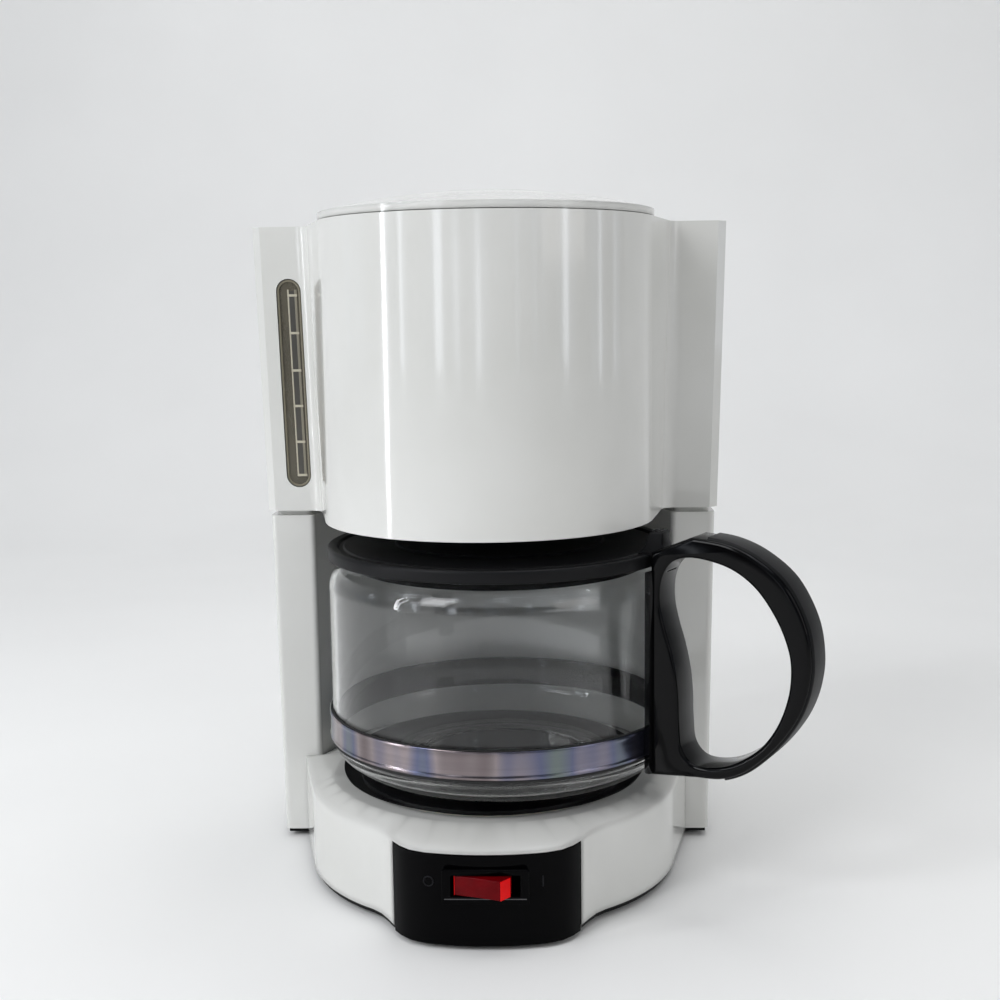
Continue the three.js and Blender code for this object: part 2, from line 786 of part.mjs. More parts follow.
function makeSwitchHousing() {
  const bezelFront = panelFace - clearance - bezelThickness;
  const z = (half) => [switchHeight - half, switchHeight + half];
  const x = (half) => [-half, half];
  const bezel = block(
    x(switchOpening + bezelWidth),
    [bezelFront, panelFace - clearance],
    z(switchHalfHeight + bezelWidth),
  );
  const body = block(x(switchOpening), [bezelFront, switchBack], z(switchHalfHeight));
  const inside = block(x(cavityHalf), [bezelFront - overrun, switchBack - switchWall], z(cavityHalfHeight));
  const pinHole = post(
    rockerPinRadius + clearance,
    switchHeight - switchHalfHeight - overrun,
    switchHeight + switchHalfHeight + overrun,
    0,
    rockerPivotY,
  );
  const slots = [-1, 1].map((side) =>
    block(
      [
        side * terminalSpread - terminalThickness / 2 - clearance,
        side * terminalSpread + terminalThickness / 2 + clearance,
      ],
      [switchBack - switchWall - overrun, switchBack + overrun],
      z(terminalWidth / 2 + clearance),
    ));
  return cut(join(bezel, body), inside, pinHole, ...slots);
}

function makeRocker() {
  const shape = new THREE.Shape();
  shape.moveTo(-rockerHalfLength, -rockerDepth);
  shape.lineTo(rockerHalfLength, -rockerDepth);
  shape.lineTo(rockerHalfLength, -rockerDepth / 4);
  shape.lineTo(rockerPinRadius * 2, rockerPinRadius * 2);
  shape.lineTo(-rockerPinRadius * 2, rockerPinRadius * 2);
  shape.lineTo(-rockerHalfLength, -rockerDepth / 4);
  shape.closePath();
  const paddle = prism(shape, -rockerHalfHeight, rockerHalfHeight);
  const pin = post(rockerPinRadius, -switchHalfHeight, switchHalfHeight);
  return join(paddle, pin);
}

function makeContact() {
  const back = switchBack - switchWall - clearance;
  const strip = block(
    [-terminalSpread - terminalThickness, terminalSpread + terminalThickness],
    [back - terminalThickness, back],
    [switchHeight + terminalWidth / 2 + clearance, switchHeight + cavityHalfHeight - clearance],
  );
  const arm = block(
    [-rockerPinRadius, rockerPinRadius],
    [rockerPivotY + rockerPinRadius * 2 + clearance * 4, back],
    [switchHeight - cavityHalfHeight + clearance, switchHeight + cavityHalfHeight - clearance],
  );
  return join(strip, arm);
}

function makeTerminal(side) {
  const x = side * terminalSpread;
  const front = switchBack - switchWall - terminalThickness * 2 - clearance;
  return block(
    [x - terminalThickness / 2, x + terminalThickness / 2],
    [front, switchBack + terminalLength],
    [switchHeight - terminalWidth / 2, switchHeight + terminalWidth / 2],
  );
}

// Warming plate and heater

function makeWarmingPlate() {
  const disc = post(plateRadius, plateBottom, plateTop, 0, 0, fineSteps);
  const studs = [-1, 1].map((side) =>
    cut(
      post(studRadius, clampTop + clearance, plateBottom + plateThickness / 2, side * studSpread, 0),
      post(screwHole, clampTop - overrun, clampTop + screwLength, side * studSpread, 0),
    ));
  return join(disc, ...studs);
}

const makePlateSeal = () =>
  ring(plateOpening - clearance, plateOpening - sealWidth + clearance, ledgeTop + clearance,
      plateBottom - clearance,
    fineSteps);

function bend(height) {
  const turns = 8;
  const points = [];
  for (let i = 0; i <= turns; i++) {
    const angle = Math.PI + (i * Math.PI) / turns;
    points.push([tubeBendRadius * Math.cos(angle), tubeBendRadius * Math.sin(angle), height]);
  }
  return points;
}

function makeBoilingTube() {
  const leg = (x) => [
    [x, tubeReach, tubeExitHeight],
    [x, tubeReach - hoseGrip, tubeExitHeight],
    [x, tubeReach - hoseGrip - tubeRadius, tubeExitHeight],
    [x, (tubeReach + elementReach) / 2, (tubeExitHeight + tubeHeight) / 2],
    [x, elementReach + tubeRadius, tubeHeight],
  ];
  const points = [...leg(-tubeBendRadius), ...bend(tubeHeight), ...leg(tubeBendRadius).reverse()];
  return pipe(points, tubeRadius, tubeBore, 24);
}

function makeHeatingElement() {
  const points = [
    [-tubeBendRadius, elementReach, elementHeight],
    ...bend(elementHeight),
    [tubeBendRadius, elementReach, elementHeight],
  ];
  return pipe(points, elementRadius, 0, 22);
}

function makeHeaterClamp() {
  const half = tubeBendRadius + elementRadius * 2;
  const bar = block([-half, half], [-clampWidth / 2, clampWidth / 2], [clampBottom, clampTop]);
  const holes = [-1, 1].map((side) => post(screwHole, clampBottom - overrun, clampTop + overrun,
      side * studSpread, 0));
  return cut(bar, ...holes);
}

function makeThermostat() {
  const top = plateBottom - clearance;
  const flangeBottom = top - thermostatThickness;
  const disc = post(thermostatRadius, flangeBottom, top, 0, 0, smallSteps);
  const body = post(thermostatBodyRadius, clampTop + clearance, flangeBottom + clearance, 0, 0, smallSteps);
  const half = studSpread + studRadius + bossWall;
  const ears = block([-half, half], [-studRadius - bossWall, studRadius + bossWall],
    [flangeBottom, flangeBottom + clampThickness]);
  const holes = [-1, 1].map((side) =>
    post(studRadius + clearance, flangeBottom - overrun, top + overrun, side * studSpread, 0));
  return cut(join(disc, body, ears), ...holes);
}

const fuseAcross = (studSpread + studRadius + tubeBendRadius - tubeRadius) / 2;
const fuseHeight = clampTop + clearance + fuseRadius;
const makeThermalFuse = () =>
  rodY(fuseRadius, -fuseLength / 2, fuseLength / 2, fuseAcross, fuseHeight, 8);

// Water path

function makeInletHose() {
  const x = inletAcross;
  const points = [
    [-tubeBendRadius, tubeReach - hoseGrip, tubeExitHeight],
    [-tubeBendRadius, tubeReach, tubeExitHeight],
    [-tubeBendRadius, tubeReach + valveLength, tubeExitHeight],
    [(x - tubeBendRadius) / 2, hoseRow - hoseRadius, tubeExitHeight + clearance],
    [x, hoseRow, tubeExitHeight + hoseRadius * 2],
    [x, hoseRow, tubeExitHeight + hoseRadius * 5],
    [x, hoseRow, deckBottom - clearance],
  ];
  return pipe(points, hoseRadius, hoseBore, 18);
}

function makeOutletHose() {
  const x = outletAcross;
  const points = [
    [tubeBendRadius, tubeReach - hoseGrip, tubeExitHeight],
    [tubeBendRadius, tubeReach, tubeExitHeight],
    [tubeBendRadius, tubeReach + valveLength, tubeExitHeight],
    [(x + tubeBendRadius) / 2, hoseRow - hoseRadius, tubeExitHeight + clearance],
    [x, hoseRow, tubeExitHeight + hoseRadius * 2],
    [x, hoseRow, riserStart],
    [x, hoseRow, riserStart + hoseGrip],
  ];
  return pipe(points, hoseRadius, hoseBore, 16);
}

const makeCheckValve = () => {
  const from = tubeReach + clearance;
  return cut(
    rodY(tubeRadius - clearance, from, from + valveLength - hoseWall, -tubeBendRadius, tubeExitHeight, 8),
    rodY(valveBore, from - overrun, from + valveLength + overrun, -tubeBendRadius, tubeExitHeight, 8),
  );
};

const pegRows = [columnFront + rearCornerRadius, tankRearFront + rearCornerRadius];
const riserTop = spreaderTop - spreaderDepth - clearance;

function makeRiser() {
  const bottom = riserStart;
  return cut(
    post(tubeRadius, bottom, riserTop, outletAcross, hoseRow, roundSteps / 2),
    post(tubeBore, bottom - overrun, riserTop + overrun, outletAcross, hoseRow),
  );
}

function makeReservoir() {
  const outside = prism(tankOutline(0), tankBottom, tankTop);
  const sleeveRadius = tubeRadius + clearance + tankWall;
  const inside = cut(
    prism(tankOutline(tankWall), tankBottom + tankWall, tankTop + overrun),
    post(sleeveRadius, tankBottom, tankTop, outletAcross, hoseRow),
  );
  const spout = post(tubeRadius, deckBottom - clearance - spoutDrop, tankBottom + tankWall, inletAcross,
      hoseRow);
  const pegs = [-pegSpread, pegSpread].flatMap((x) =>
    pegRows.map((y) => post(pegRadius, floorTop + clearance, tankBottom + tankWall, x, y)));
  const bore = post(tubeBore, deckBottom - spoutDrop - overrun, tankBottom + tankWall + overrun,
      inletAcross, hoseRow);
  const sleeve = post(tubeRadius + clearance, tankBottom - overrun, tankTop + overrun, outletAcross,
      hoseRow);
  return cut(join(cut(outside, inside), spout, ...pegs), bore, sleeve);
}

// Tower

const coverScrews = [-1, 1].map((side) =>
  [side * (coverHalfWidth - coverScrewInset), deckBottom - coverLedge - coverScrewInset]);
const bossHalf = screwHole + bossWall;
const throughHoles = [[inletAcross, hoseRow], [outletAcross, hoseRow]];
const tubeHole = tubeRadius + clearance * 2;

function makeTower() {
  const outside = prism(towerOutline(0), shellBottom, towerTop, smallSteps);
  const neck = prism(towerOutline(revealDepth), towerTop - wall, deckTop, smallSteps);
  const inside = prism(towerOutline(wall), shellBottom - overrun, deckBottom, smallSteps);
  const shell = leanTower(cut(join(outside, neck), inside));
  const bosses = towerBosses.map(([x, y]) =>
    block(
      x < 0 ? [-towerBossEnd, x + bossHalf] : [x - bossHalf, towerBossEnd],
      [y - bossHalf, y + bossHalf],
      [bossBottom, bossBottom + screwLength + wall],
    ));
  const coverBosses = coverScrews.map(([x, z]) =>
    block(
      [x - bossHalf, x + bossHalf],
      [coverFront - coverPad - clearance - screwLength, coverFront - coverPad - clearance],
      [z - bossHalf, deckBottom + clearance],
    ));
  const rearOpening = block(
    [-coverHalfWidth, coverHalfWidth],
    [axisToBack - wall - clearance, axisToBack + overrun],
    [shellBottom - overrun, deckBottom - coverLedge],
  );
  const passage = block([-passageHalfWidth, passageHalfWidth], [0, axisToBack - wall - overrun],
    [shellBottom - overrun, shellCeiling - clearance]);
  const drills = [
    ...towerBosses.map(([x, y]) => post(screwHole, bossBottom - overrun, bossBottom + screwLength, x, y)),
    ...coverScrews.map(([x, z]) => rodY(screwHole, coverFront - coverPad - screwLength, axisToBack, x, z)),
    ...towerScrews.map(([x, y]) => post(screwHole, deckBottom - overrun, deckTop + overrun, x, y)),
    ...throughHoles.map(([x, y]) => post(tubeHole, deckBottom - overrun, deckTop + overrun, x, y)),
  ];
  return cut(join(shell, ...bosses, ...coverBosses), rearOpening, passage, ...drills);
}

function makeRearCover() {
  const half = coverHalfWidth - clearance;
  const top = deckBottom - coverLedge - clearance;
  const sheet = block([-half, half], [coverFront, coverBack], [shellBottom, top]);
  const pads = coverScrews.map(([x, z]) => rodY(dimpleRadius, coverFront - coverPad, coverBack, x, z));
  const headRoom = screwHeadHeight + clearance;
  const tools = coverScrews.flatMap(([x, z]) => [
    rodY(dimpleRadius - basePlateThickness, coverBack - headRoom, coverBack + overrun, x, z),
    rodY(screwHole, coverFront - overrun, coverBack + overrun, x, z),
  ]);
  const glandHole = rodY(glandRadius + clearance, coverFront - overrun, coverBack + overrun, glandAcross,
      glandHeight);
  return cut(join(sheet, ...pads), ...tools, glandHole);
}

function makeGland() {
  const [x, z] = [glandAcross, glandHeight];
  const inner = coverFront - clearance;
  const outer = coverBack + clearance;
  const body = join(
    rodY(glandRadius, inner - glandFlange / 2, outer + glandFlange / 2, x, z),
    rodY(glandFlangeRadius, outer, outer + glandFlange, x, z),
    rodY(glandFlangeRadius, inner - glandFlange, inner, x, z),
  );
  return cut(body, rodY(glandBore, inner - overrun, outer + overrun, x, z));
}

// Brew housing

const towerScrews = [-1, 1].map((side) =>
  [side * (housingHalfWidth - wall - bossWall - bossHalf), axisToBack - rearCornerRadius - bossHalf * 2]);
const hingeAt = (side, from, length) => {
  const [a, b] = [side * from, side * (from + length)];
  return [Math.min(a, b), Math.max(a, b)];
};
const ears = [-1, 1].flatMap((side) => [
  hingeAt(side, hingeSpread - clearance - earLength, earLength),
  hingeAt(side, hingeSpread + knuckleLength + clearance, earLength),
]);
const knuckles = [-1, 1].map((side) => hingeAt(side, hingeSpread, knuckleLength));
const pinHoleX = (from, to) => rodX(hingePinRadius + clearance, from, to, hingeBack, hingeHeight);

function stadium(halfWidth, bottom, top) {
  const shape = new THREE.Shape();
  shape.absarc(windowAcross, bottom + halfWidth, halfWidth, Math.PI, 2 * Math.PI);
  shape.absarc(windowAcross, top - halfWidth, halfWidth, 0, Math.PI);
  shape.closePath();
  return shape;
}

// An outline seen from the front, given a depth from front to back
function facing(shape, front, back, steps = smallSteps / 2) {
  const geometry = upright(shape, 0, back - front, steps);
  return solidOf(geometry.rotateX(Math.PI / 2).translate(0, back, 0));
}

function makeHousing() {
  const outside = prism(housingOutline(0), housingBottom, housingTop, smallSteps);
  const inside = prism(housingOutline(wall), housingBottom - overrun, housingTop - wall, smallSteps);
  const slot = facing(stadium(windowWidth / 2, windowBottom, windowTop), wingFront - overrun,
      wingFront + overrun);
  const shell = leanHousing(cut(outside, inside, slot));
  const skirtTop = housingTop - wall / 2;
  const skirt = prism(lidOutline(openingRadius + skirtThickness, openingBack + skirtThickness),
    housingTop - skirtDepth, skirtTop, smallSteps);
  const opening = prism(lidOutline(openingRadius, openingBack), housingTop - skirtDepth - overrun,
    housingTop + overrun, smallSteps);
  const ledge = ring(openingRadius + skirtThickness / 2, openingRadius - ledgeReach, ledgeRingTop - wall,
      ledgeRingTop);
  const lugs = towerScrews.map(([x, y]) =>
    block(
      x < 0 ? [-lugEnd, x + bossHalf] : [x - bossHalf, lugEnd],
      [y - bossHalf, y + bossHalf],
      [floorTop + clearance, tankBottom - clearance],
    ));
  const earSolids = ears.map(([from, to]) =>
    join(
      rodX(knuckleRadius, from, to, hingeBack, hingeHeight),
      block([from, to], [hingeBack - knuckleRadius, hingeBack + knuckleRadius],
          [housingTop - wall / 2, hingeHeight]),
    ));
  const drills = towerScrews.map(([x, y]) => post(screwHole, housingBottom, tankBottom, x, y));
  const pins = ears.map(([from, to]) => pinHoleX(from - overrun / 2, to + overrun / 2));
  return cut(join(cut(join(shell, skirt), opening), ledge, ...lugs, ...earSolids), ...drills, ...pins);
}

function makeFloor() {
  const sheet = leanHousing(prism(housingOutline(wall + clearance), housingBottom, floorTop,
      roundSteps / 2));
  const holes = [
    post(dripHoleRadius, housingBottom - overrun, floorTop + overrun),
    ...throughHoles.map(([x, y]) => post(tubeHole, housingBottom - overrun, floorTop + overrun, x, y)),
    ...towerScrews.map(([x, y]) => post(screwHole, housingBottom - overrun, floorTop + overrun, x, y)),
  ];
  return cut(sheet, ...holes);
}

function makeWindow() {
  const half = windowWidth / 2 - clearance;
  const inner = wingFront + wall + clearance;
  const lens = facing(stadium(half, windowBottom + clearance, windowTop - clearance),
      wingFront - windowProud,
    inner + windowFlangeThickness);
  const flange = facing(stadium(half + windowFlange, windowBottom - windowFlange, windowTop + windowFlange),
    inner, inner + windowFlangeThickness);
  return leanHousing(join(lens, flange));
}

// Top lid, hollow, with sockets for the water spreader that hangs under it

const lidMiddle = [0, (lidBack - bulgeRadius) / 2];
const domeShares = [0.94, 0.72, 0.4, 0];
const edgeTop = lidBottom + lidEdge;
const spreaderPegs = [
  [-spreaderRadius / 2, 0],
  [spreaderRadius / 2, 0],
  [outletAcross * lidPegShare, hoseRow * lidPegShare],
];

function dome(inset, bottom) {
  const levels = [[0, bottom], [1, bottom], [1, edgeTop - inset]];
  for (const share of domeShares) levels.push([share, edgeTop - inset + lidRise * (1 - share ** 2)]);
  return ringed(lidOutline(lidHalfWidth - inset, lidBack - inset), levels, lidMiddle, smallSteps);
}

function makeTopLid() {
  const outside = dome(0, lidBottom);
  const socketRadius = spreaderPegRadius + clearance + spreaderWall;
  const sockets = spreaderPegs.map(([x, y]) =>
    post(socketRadius, spreaderTop + clearance, edgeTop + lidRise, x, y).intersect(outside));
  const arms = knuckles.map(([from, to]) =>
    join(
      rodX(knuckleRadius, from, to, hingeBack, hingeHeight),
      block([from, to], [lidBack - lidWall / 2, hingeBack], [lidBottom, lidBottom + lidEdge]),
    ));
  const shell = join(cut(outside, dome(lidWall, lidBottom - overrun)), ...sockets, ...arms);
  const bores = spreaderPegs.map(([x, y]) =>
    post(spreaderPegRadius + clearance, lidBottom - overrun, spreaderTop + spreaderPegHeight + clearance,
        x, y));
  const pins = knuckles.map(([from, to]) => pinHoleX(from - overrun / 2, to + overrun / 2));
  return cut(shell, ...bores, ...pins);
}

function makeLidPin(side) {
  const from = hingeSpread - earLength;
  const to = hingeSpread + knuckleLength + earLength;
  const [a, b] = hingeAt(side, from, to - from);
  return rodX(hingePinRadius, a, b, hingeBack, hingeHeight);
}

// A channel from above the riser to a disc with holes over the basket
function spreaderOutline(inset) {
  const half = spreaderWidth / 2 - inset;
  const radius = spreaderRadius - inset;
  const heading = Math.atan2(hoseRow, outletAcross);
  const spread = Math.asin(half / radius);
  const shape = new THREE.Shape();
  shape.absarc(0, 0, radius, heading + spread, heading + 2 * Math.PI - spread);
  shape.absarc(outletAcross, hoseRow, half, heading - Math.PI / 2, heading + Math.PI / 2);
  shape.closePath();
  return shape;
}

function makeSpreader() {
  const bottom = spreaderTop - spreaderDepth;
  const tray = cut(
    prism(spreaderOutline(0), bottom, spreaderTop),
    prism(spreaderOutline(spreaderWall), bottom + spreaderWall, spreaderTop + overrun),
  );
  const pegs = spreaderPegs.map(([x, y]) =>
    post(spreaderPegRadius, bottom + spreaderWall / 2, spreaderTop + spreaderPegHeight, x, y));
  const holes = [post(tubeBore, bottom - overrun, spreaderTop + overrun, outletAcross, hoseRow)];
  for (let i = 0; i < spreaderHoleCount; i++) {
    const [x, y] = onCircle(spreaderRadius * spreaderHoleShare, (i * 360) / spreaderHoleCount);
    holes.push(post(spreaderHoleRadius, bottom - overrun, spreaderTop + overrun, x, y, smallSteps / 2));
  }
  return cut(join(tray, ...pegs), ...holes);
}

function makeBasket() {
  const inside = basketWall;
  return turned([
    [openingRadius - flangeGap, basketRim - basketFlange],
    [openingRadius - flangeGap, basketRim],
    [basketTopRadius - inside, basketRim],
    [basketBottomRadius - inside, basketFloor + inside],
    [nozzleRadius - inside, basketFloor + inside],
    [nozzleRadius - inside, nozzleBottom],
    [nozzleRadius, nozzleBottom],
    [nozzleRadius, basketFloor],
    [basketBottomRadius, basketFloor],
    [basketTopRadius, basketRim - basketFlange],
  ]);
}

// Carafe, made round its own axis with the handle towards +X

function makeGlass() {
  const foot = carafeBottom;
  const belly = foot + bellyHeight;
  const shoulder = glassTop - shoulderHeight;
  return turned([
    [0, foot + puntHeight],
    [puntRadius, foot + puntHeight - clearance],
    [footRingRadius - footRingWidth, foot + puntHeight / 4],
    [footRingRadius, foot],
    [footRingRadius + footRingWidth, foot + puntHeight / 4],
    [carafeRadius * bellyShares[0], foot + bellyHeight * bellyShares[1]],
    [carafeRadius * bellyShares[2], foot + bellyHeight * bellyShares[3]],
    [carafeRadius, belly],
    [carafeRadius, shoulder],
    [carafeRadius - (carafeRadius - mouthRadius) * shoulderShares[0],
      shoulder + shoulderHeight * shoulderShares[1]],
    [mouthRadius, glassTop],
    [mouthRadius - glassWall, glassTop],
    [carafeRadius - glassWall - (carafeRadius - mouthRadius) * shoulderShares[0],
      shoulder + shoulderHeight * shoulderShares[1]],
    [carafeRadius - glassWall, shoulder],
    [carafeRadius - glassWall, belly],
    [carafeRadius * bellyShares[2] - glassWall, foot + bellyHeight * bellyShares[3] + glassWall / 2],
    [carafeRadius * bellyShares[0] - glassWall / 2, foot + bellyHeight * bellyShares[1] + glassWall],
    [footRingRadius, foot + puntHeight / 4 + glassWall],
    [puntRadius, foot + puntHeight + glassWall - clearance],
    [0, foot + puntHeight + glassWall],
  ], fineSteps);
}

const bandSpan = (margin) => [bandBottom + margin, bandTop - margin];

function makeBand() {
  const body = ring(bandOuterRadius, bandOuterRadius - bandThickness, bandBottom, bandTop, fineSteps);
  const bracket = block(
    [bandOuterRadius - bandThickness / 2, bandOuterRadius + bracketReach],
    [-bracketWidth / 2, bracketWidth / 2],
    bandSpan(bracketMargin),
  );
  const drill = rodX(screwHole, bandOuterRadius + bandThickness,
      bandOuterRadius + bracketReach + overrun, 0, bandMiddle);
  return cut(join(body, bracket), drill);
}

function handlePoints(shares) {
  return shares.map(([across, up]) => new THREE.Vector2(
    THREE.MathUtils.lerp(handleFace, handleReach, across),
    THREE.MathUtils.lerp(handleBottom, handleTop, up),
  ));
}

function makeHandle() {
  const shape = new THREE.Shape();
  const [first, ...rest] = handlePoints(gripShares);
  shape.moveTo(handleFace, handleBottom);
  shape.lineTo(first.x, first.y);
  shape.splineThru(rest);
  shape.lineTo(handleFace, handleTop - handleShoulder);
  shape.closePath();
  const finger = new THREE.Path();
  const [start, ...round] = handlePoints(fingerShares);
  finger.moveTo(start.x, start.y);
  finger.splineThru([...round, start]);
  shape.holes.push(finger);
  const geometry = new THREE.ExtrudeGeometry(shape, {
    depth: handleThickness - handleBevel * 2,
    bevelThickness: handleBevel,
    bevelSize: handleBevel,
    bevelOffset: -handleBevel,
    bevelSegments: 1,
    curveSegments: 3,
  });
  geometry.rotateX(Math.PI / 2).translate(0, handleThickness / 2 - handleBevel, 0);
  const half = bracketWidth / 2 + clearance;
  const pocket = block(
    [handleFace - overrun, bandOuterRadius + bracketReach + clearance],
    [-half, half],
    bandSpan(bracketMargin - clearance),
  );
  const slotHalf = carafeKnuckleWidth / 2 + clearance;
  const slot = block(
    [handleFace - overrun, carafePinReach + carafeKnuckleRadius + clearance],
    [-slotHalf, slotHalf],
    [carafePinHeight - carafeKnuckleRadius - clearance, handleTop + overrun],
  );
  const seat = post(carafeRadius + clearance, bandBottom - handleBottom, handleTop, 0, 0, fineSteps);
  const bandSeat = post(handleFace, bandBottom - clearance, bandTop + clearance, 0, 0, fineSteps);
  const rimSeat = post(lidRadius + clearance, lidRimBottom - clearance, handleTop + overrun, 0, 0,
      fineSteps);
  const side = handleThickness;
  return cut(
    solidOf(geometry),
    pocket,
    slot,
    seat,
    bandSeat,
    rimSeat,
    rodY(carafePinRadius + clearance, -side, side, carafePinReach, carafePinHeight),
    rodX(screwHole, handleFace, handleFace + side, 0, bandMiddle),
    rodX(screwHeadRadius + clearance, bandScrewSeat, bandScrewSeat + side, 0, bandMiddle),
  );
}

function makeCarafeLid() {
  const top = lidRimTop;
  const plug = mouthRadius - glassWall - lidPlugGap;
  const lid = turned([
    [0, lidBossTop],
    [lidBossRadius, lidBossTop],
    [lidBossRadius * 2, top + lidRingHeight],
    [lidRingRadius, top],
    [lidRadius, top],
    [lidRadius, lidRimBottom],
    [plug, lidRimBottom],
    [plug, lidRimBottom - lidPlugDepth],
    [plug - lidDoorThickness, lidRimBottom - lidPlugDepth],
    [plug - lidDoorThickness, top - lidDoorThickness],
    [0, top - lidDoorThickness],
  ], fineSteps);
  const hub = rodY(carafeKnuckleRadius, -carafeKnuckleWidth / 2, carafeKnuckleWidth / 2, carafePinReach,
      carafePinHeight);
  const link = block(
    [lidRadius - lidDoorThickness, carafePinReach],
    [-carafeKnuckleWidth / 2, carafeKnuckleWidth / 2],
    [carafePinHeight - carafeKnuckleRadius / 2, top],
  );
  const lever = new THREE.Shape();
  lever.moveTo(lidRadius - tabReach, top - clearance);
  lever.lineTo(carafePinReach, top - clearance);
  lever.lineTo(carafePinReach, top + tabRise);
  lever.lineTo(carafePinReach - tabThickness, top + tabRise);
  lever.closePath();
  const tab = facing(lever, -carafeKnuckleWidth / 2, carafeKnuckleWidth / 2);
  const holes = [];
  for (let i = 0; i < lidHoleCount; i++) {
    const [x, y] = onCircle(lidHoleSpread, (i * 360) / lidHoleCount);
    holes.push(post(lidHoleRadius, lidRimBottom, top + overrun, x, y, smallSteps / 2));
  }
  const drill = rodY(carafePinRadius + clearance, -handleThickness, handleThickness, carafePinReach,
      carafePinHeight);
  return cut(join(lid, hub, link, tab), ...holes, drill);
}

const makeCarafePin = () => {
  const half = handleThickness / 2 - handleBevel;
  return rodY(carafePinRadius, -half, half, carafePinReach, carafePinHeight);
};

// Leads inside the base and tower

const makeLead = (points) => pipe(points, leadRadius, 0, 12, 6);

const leadFront = switchBack + terminalLength + clearance;
const [leadLeft, leadRight] = [-1, 1].map((side) => [side * terminalSpread, leadFront, switchHeight]);
const [leadLeftBend, leadRightBend] = [-1, 1].map((side) =>
  [side * terminalSpread, leadFront + leadStraight, switchHeight]);

const fuseEnd = (side, grip) =>
  [fuseAcross, side * (fuseLength / 2 + clearance + grip), fuseHeight];
const elementEnd = (side, grip) =>
  [side * tubeBendRadius, elementReach + clearance + grip, elementHeight];

const leads = {
  lead_supply: [
    [-51.4, 96, 24], [-51.4, 86, 22], [-52, 70, 12], [-48, 30, 9], [-30, -20, 9], [-10, -44, 14],
    leadLeftBend, leadLeft,
  ],
  lead_return: [
    [-48.6, 96, 24], [-48.6, 86, 22], [-46, 66, 12], [-42, 28, 11], [-34, 18, 17],
    elementEnd(-1, leadGrip), elementEnd(-1, 0),
  ],
  lead_switched: [
    leadRight, leadRightBend, [10, -42, 14], [17, -28, 11], [21.7, -16, 18],
    fuseEnd(-1, leadGrip), fuseEnd(-1, 0),
  ],
  lead_heater: [
    fuseEnd(1, 0), fuseEnd(1, leadGrip), [25, 20, 18.5], [31, 19, 18.5],
    elementEnd(1, leadGrip), elementEnd(1, 0),
  ],
};

// Everything is placed, then moved so that the origin is the middle of the underside of the box
addPart("base_shell", makeBaseShell(), white);
addPart("base_plate", makeBasePlate(), black);
for (const [name, x, y] of feet) addPart(name, makeFoot(x, y), rubber);
addPart("control_panel", makeControlPanel(), black);
addPart("switch_housing", makeSwitchHousing(), black);
addPart("switch_contact", makeContact(), brass);
addPart("switch_terminal_left", makeTerminal(-1), brass);
addPart("switch_terminal_right", makeTerminal(1), brass);
const rocker = addPart("switch_rocker", makeRocker(), red);
rocker.position.set(0, rockerPivotY, switchHeight);
rocker.rotation.z = -radians(rockerTiltDegrees);
addPart("warming_plate", makeWarmingPlate(), black);
addPart("plate_seal", makePlateSeal(), silicone);
addPart("boiling_tube", makeBoilingTube(), aluminium);
addPart("heating_element", makeHeatingElement(), steel);
addPart("heater_clamp", makeHeaterClamp(), steel);
addPart("thermostat", makeThermostat(), nylon);
addPart("thermal_fuse", makeThermalFuse(), nylon);
addPart("inlet_hose", makeInletHose(), silicone);
addPart("outlet_hose", makeOutletHose(), silicone);
addPart("check_valve", makeCheckValve(), nylon);
addPart("riser_tube", makeRiser(), nylon);
addPart("reservoir", makeReservoir(), smoke);

addPart("tower_shell", makeTower(), white);
addPart("rear_cover", makeRearCover(), white);
addPart("cord_gland", makeGland(), rubber);
addPart("brew_housing", makeHousing(), white);
addPart("housing_floor", makeFloor(), white);
addPart("water_level_window", makeWindow(), smoke);
addPart("top_lid", makeTopLid(), white);
addPart("lid_pin_left", makeLidPin(-1), steel);
addPart("lid_pin_right", makeLidPin(1), steel);
addPart("water_spreader", makeSpreader(), nylon);
addPart("filter_basket", makeBasket(), black);

function addScrew(name, x, y, z, length = screwLength - clearance, group = maker) {
  const mesh = addPart(name, screwSolid(length), steel, group);
  mesh.position.set(x, y, z);
  return mesh;
}

const sides = ["left", "right"];
sides.forEach((side, i) => {
  addScrew(`base_screw_${side}`, ...shellBosses[i], pocketTop - clearance);
  addScrew(`base_screw_rear_${side}`, ...towerBosses[i], pocketTop - clearance);
  addScrew(`tower_screw_${side}`, ...towerScrews[i], deckBottom - clearance, tankStand + wall);
  addScrew(`clamp_screw_${side}`, [-1, 1][i] * studSpread, 0, clampBottom - clearance, clampScrewLength);
  const [x, z] = coverScrews[i];
  addScrew(`rear_screw_${side}`, x, coverBack - screwHeadHeight, z).rotation.x = Math.PI / 2;
});

const carafe = new THREE.Group();
carafe.position.x = carafeAcross;
carafe.rotation.z = -radians(handleDegrees);
maker.add(carafe);
addPart("carafe_glass", makeGlass(), clearGlass, carafe);
addPart("carafe_band", makeBand(), steel, carafe);
addPart("carafe_handle", makeHandle(), black, carafe);
addPart("carafe_lid", makeCarafeLid(), black, carafe);
addPart("carafe_lid_pin", makeCarafePin(), steel, carafe);
const bandScrew = addScrew("band_screw", bandScrewSeat + screwHeadHeight, 0, bandMiddle, bandScrewLength,
    carafe);
bandScrew.rotation.y = -Math.PI / 2;
bandScrew.position.x = bandScrewSeat + clearance;

for (const [name, points] of Object.entries(leads)) addPart(name, makeLead(points), red);

// The origin is the middle of the underside of the box round everything
maker.updateMatrixWorld(true);
const box = new THREE.Box3().setFromObject(maker, true);
const middle = box.getCenter(new THREE.Vector3());
maker.position.set(-middle.x, -middle.y, -box.min.z);

export default maker;
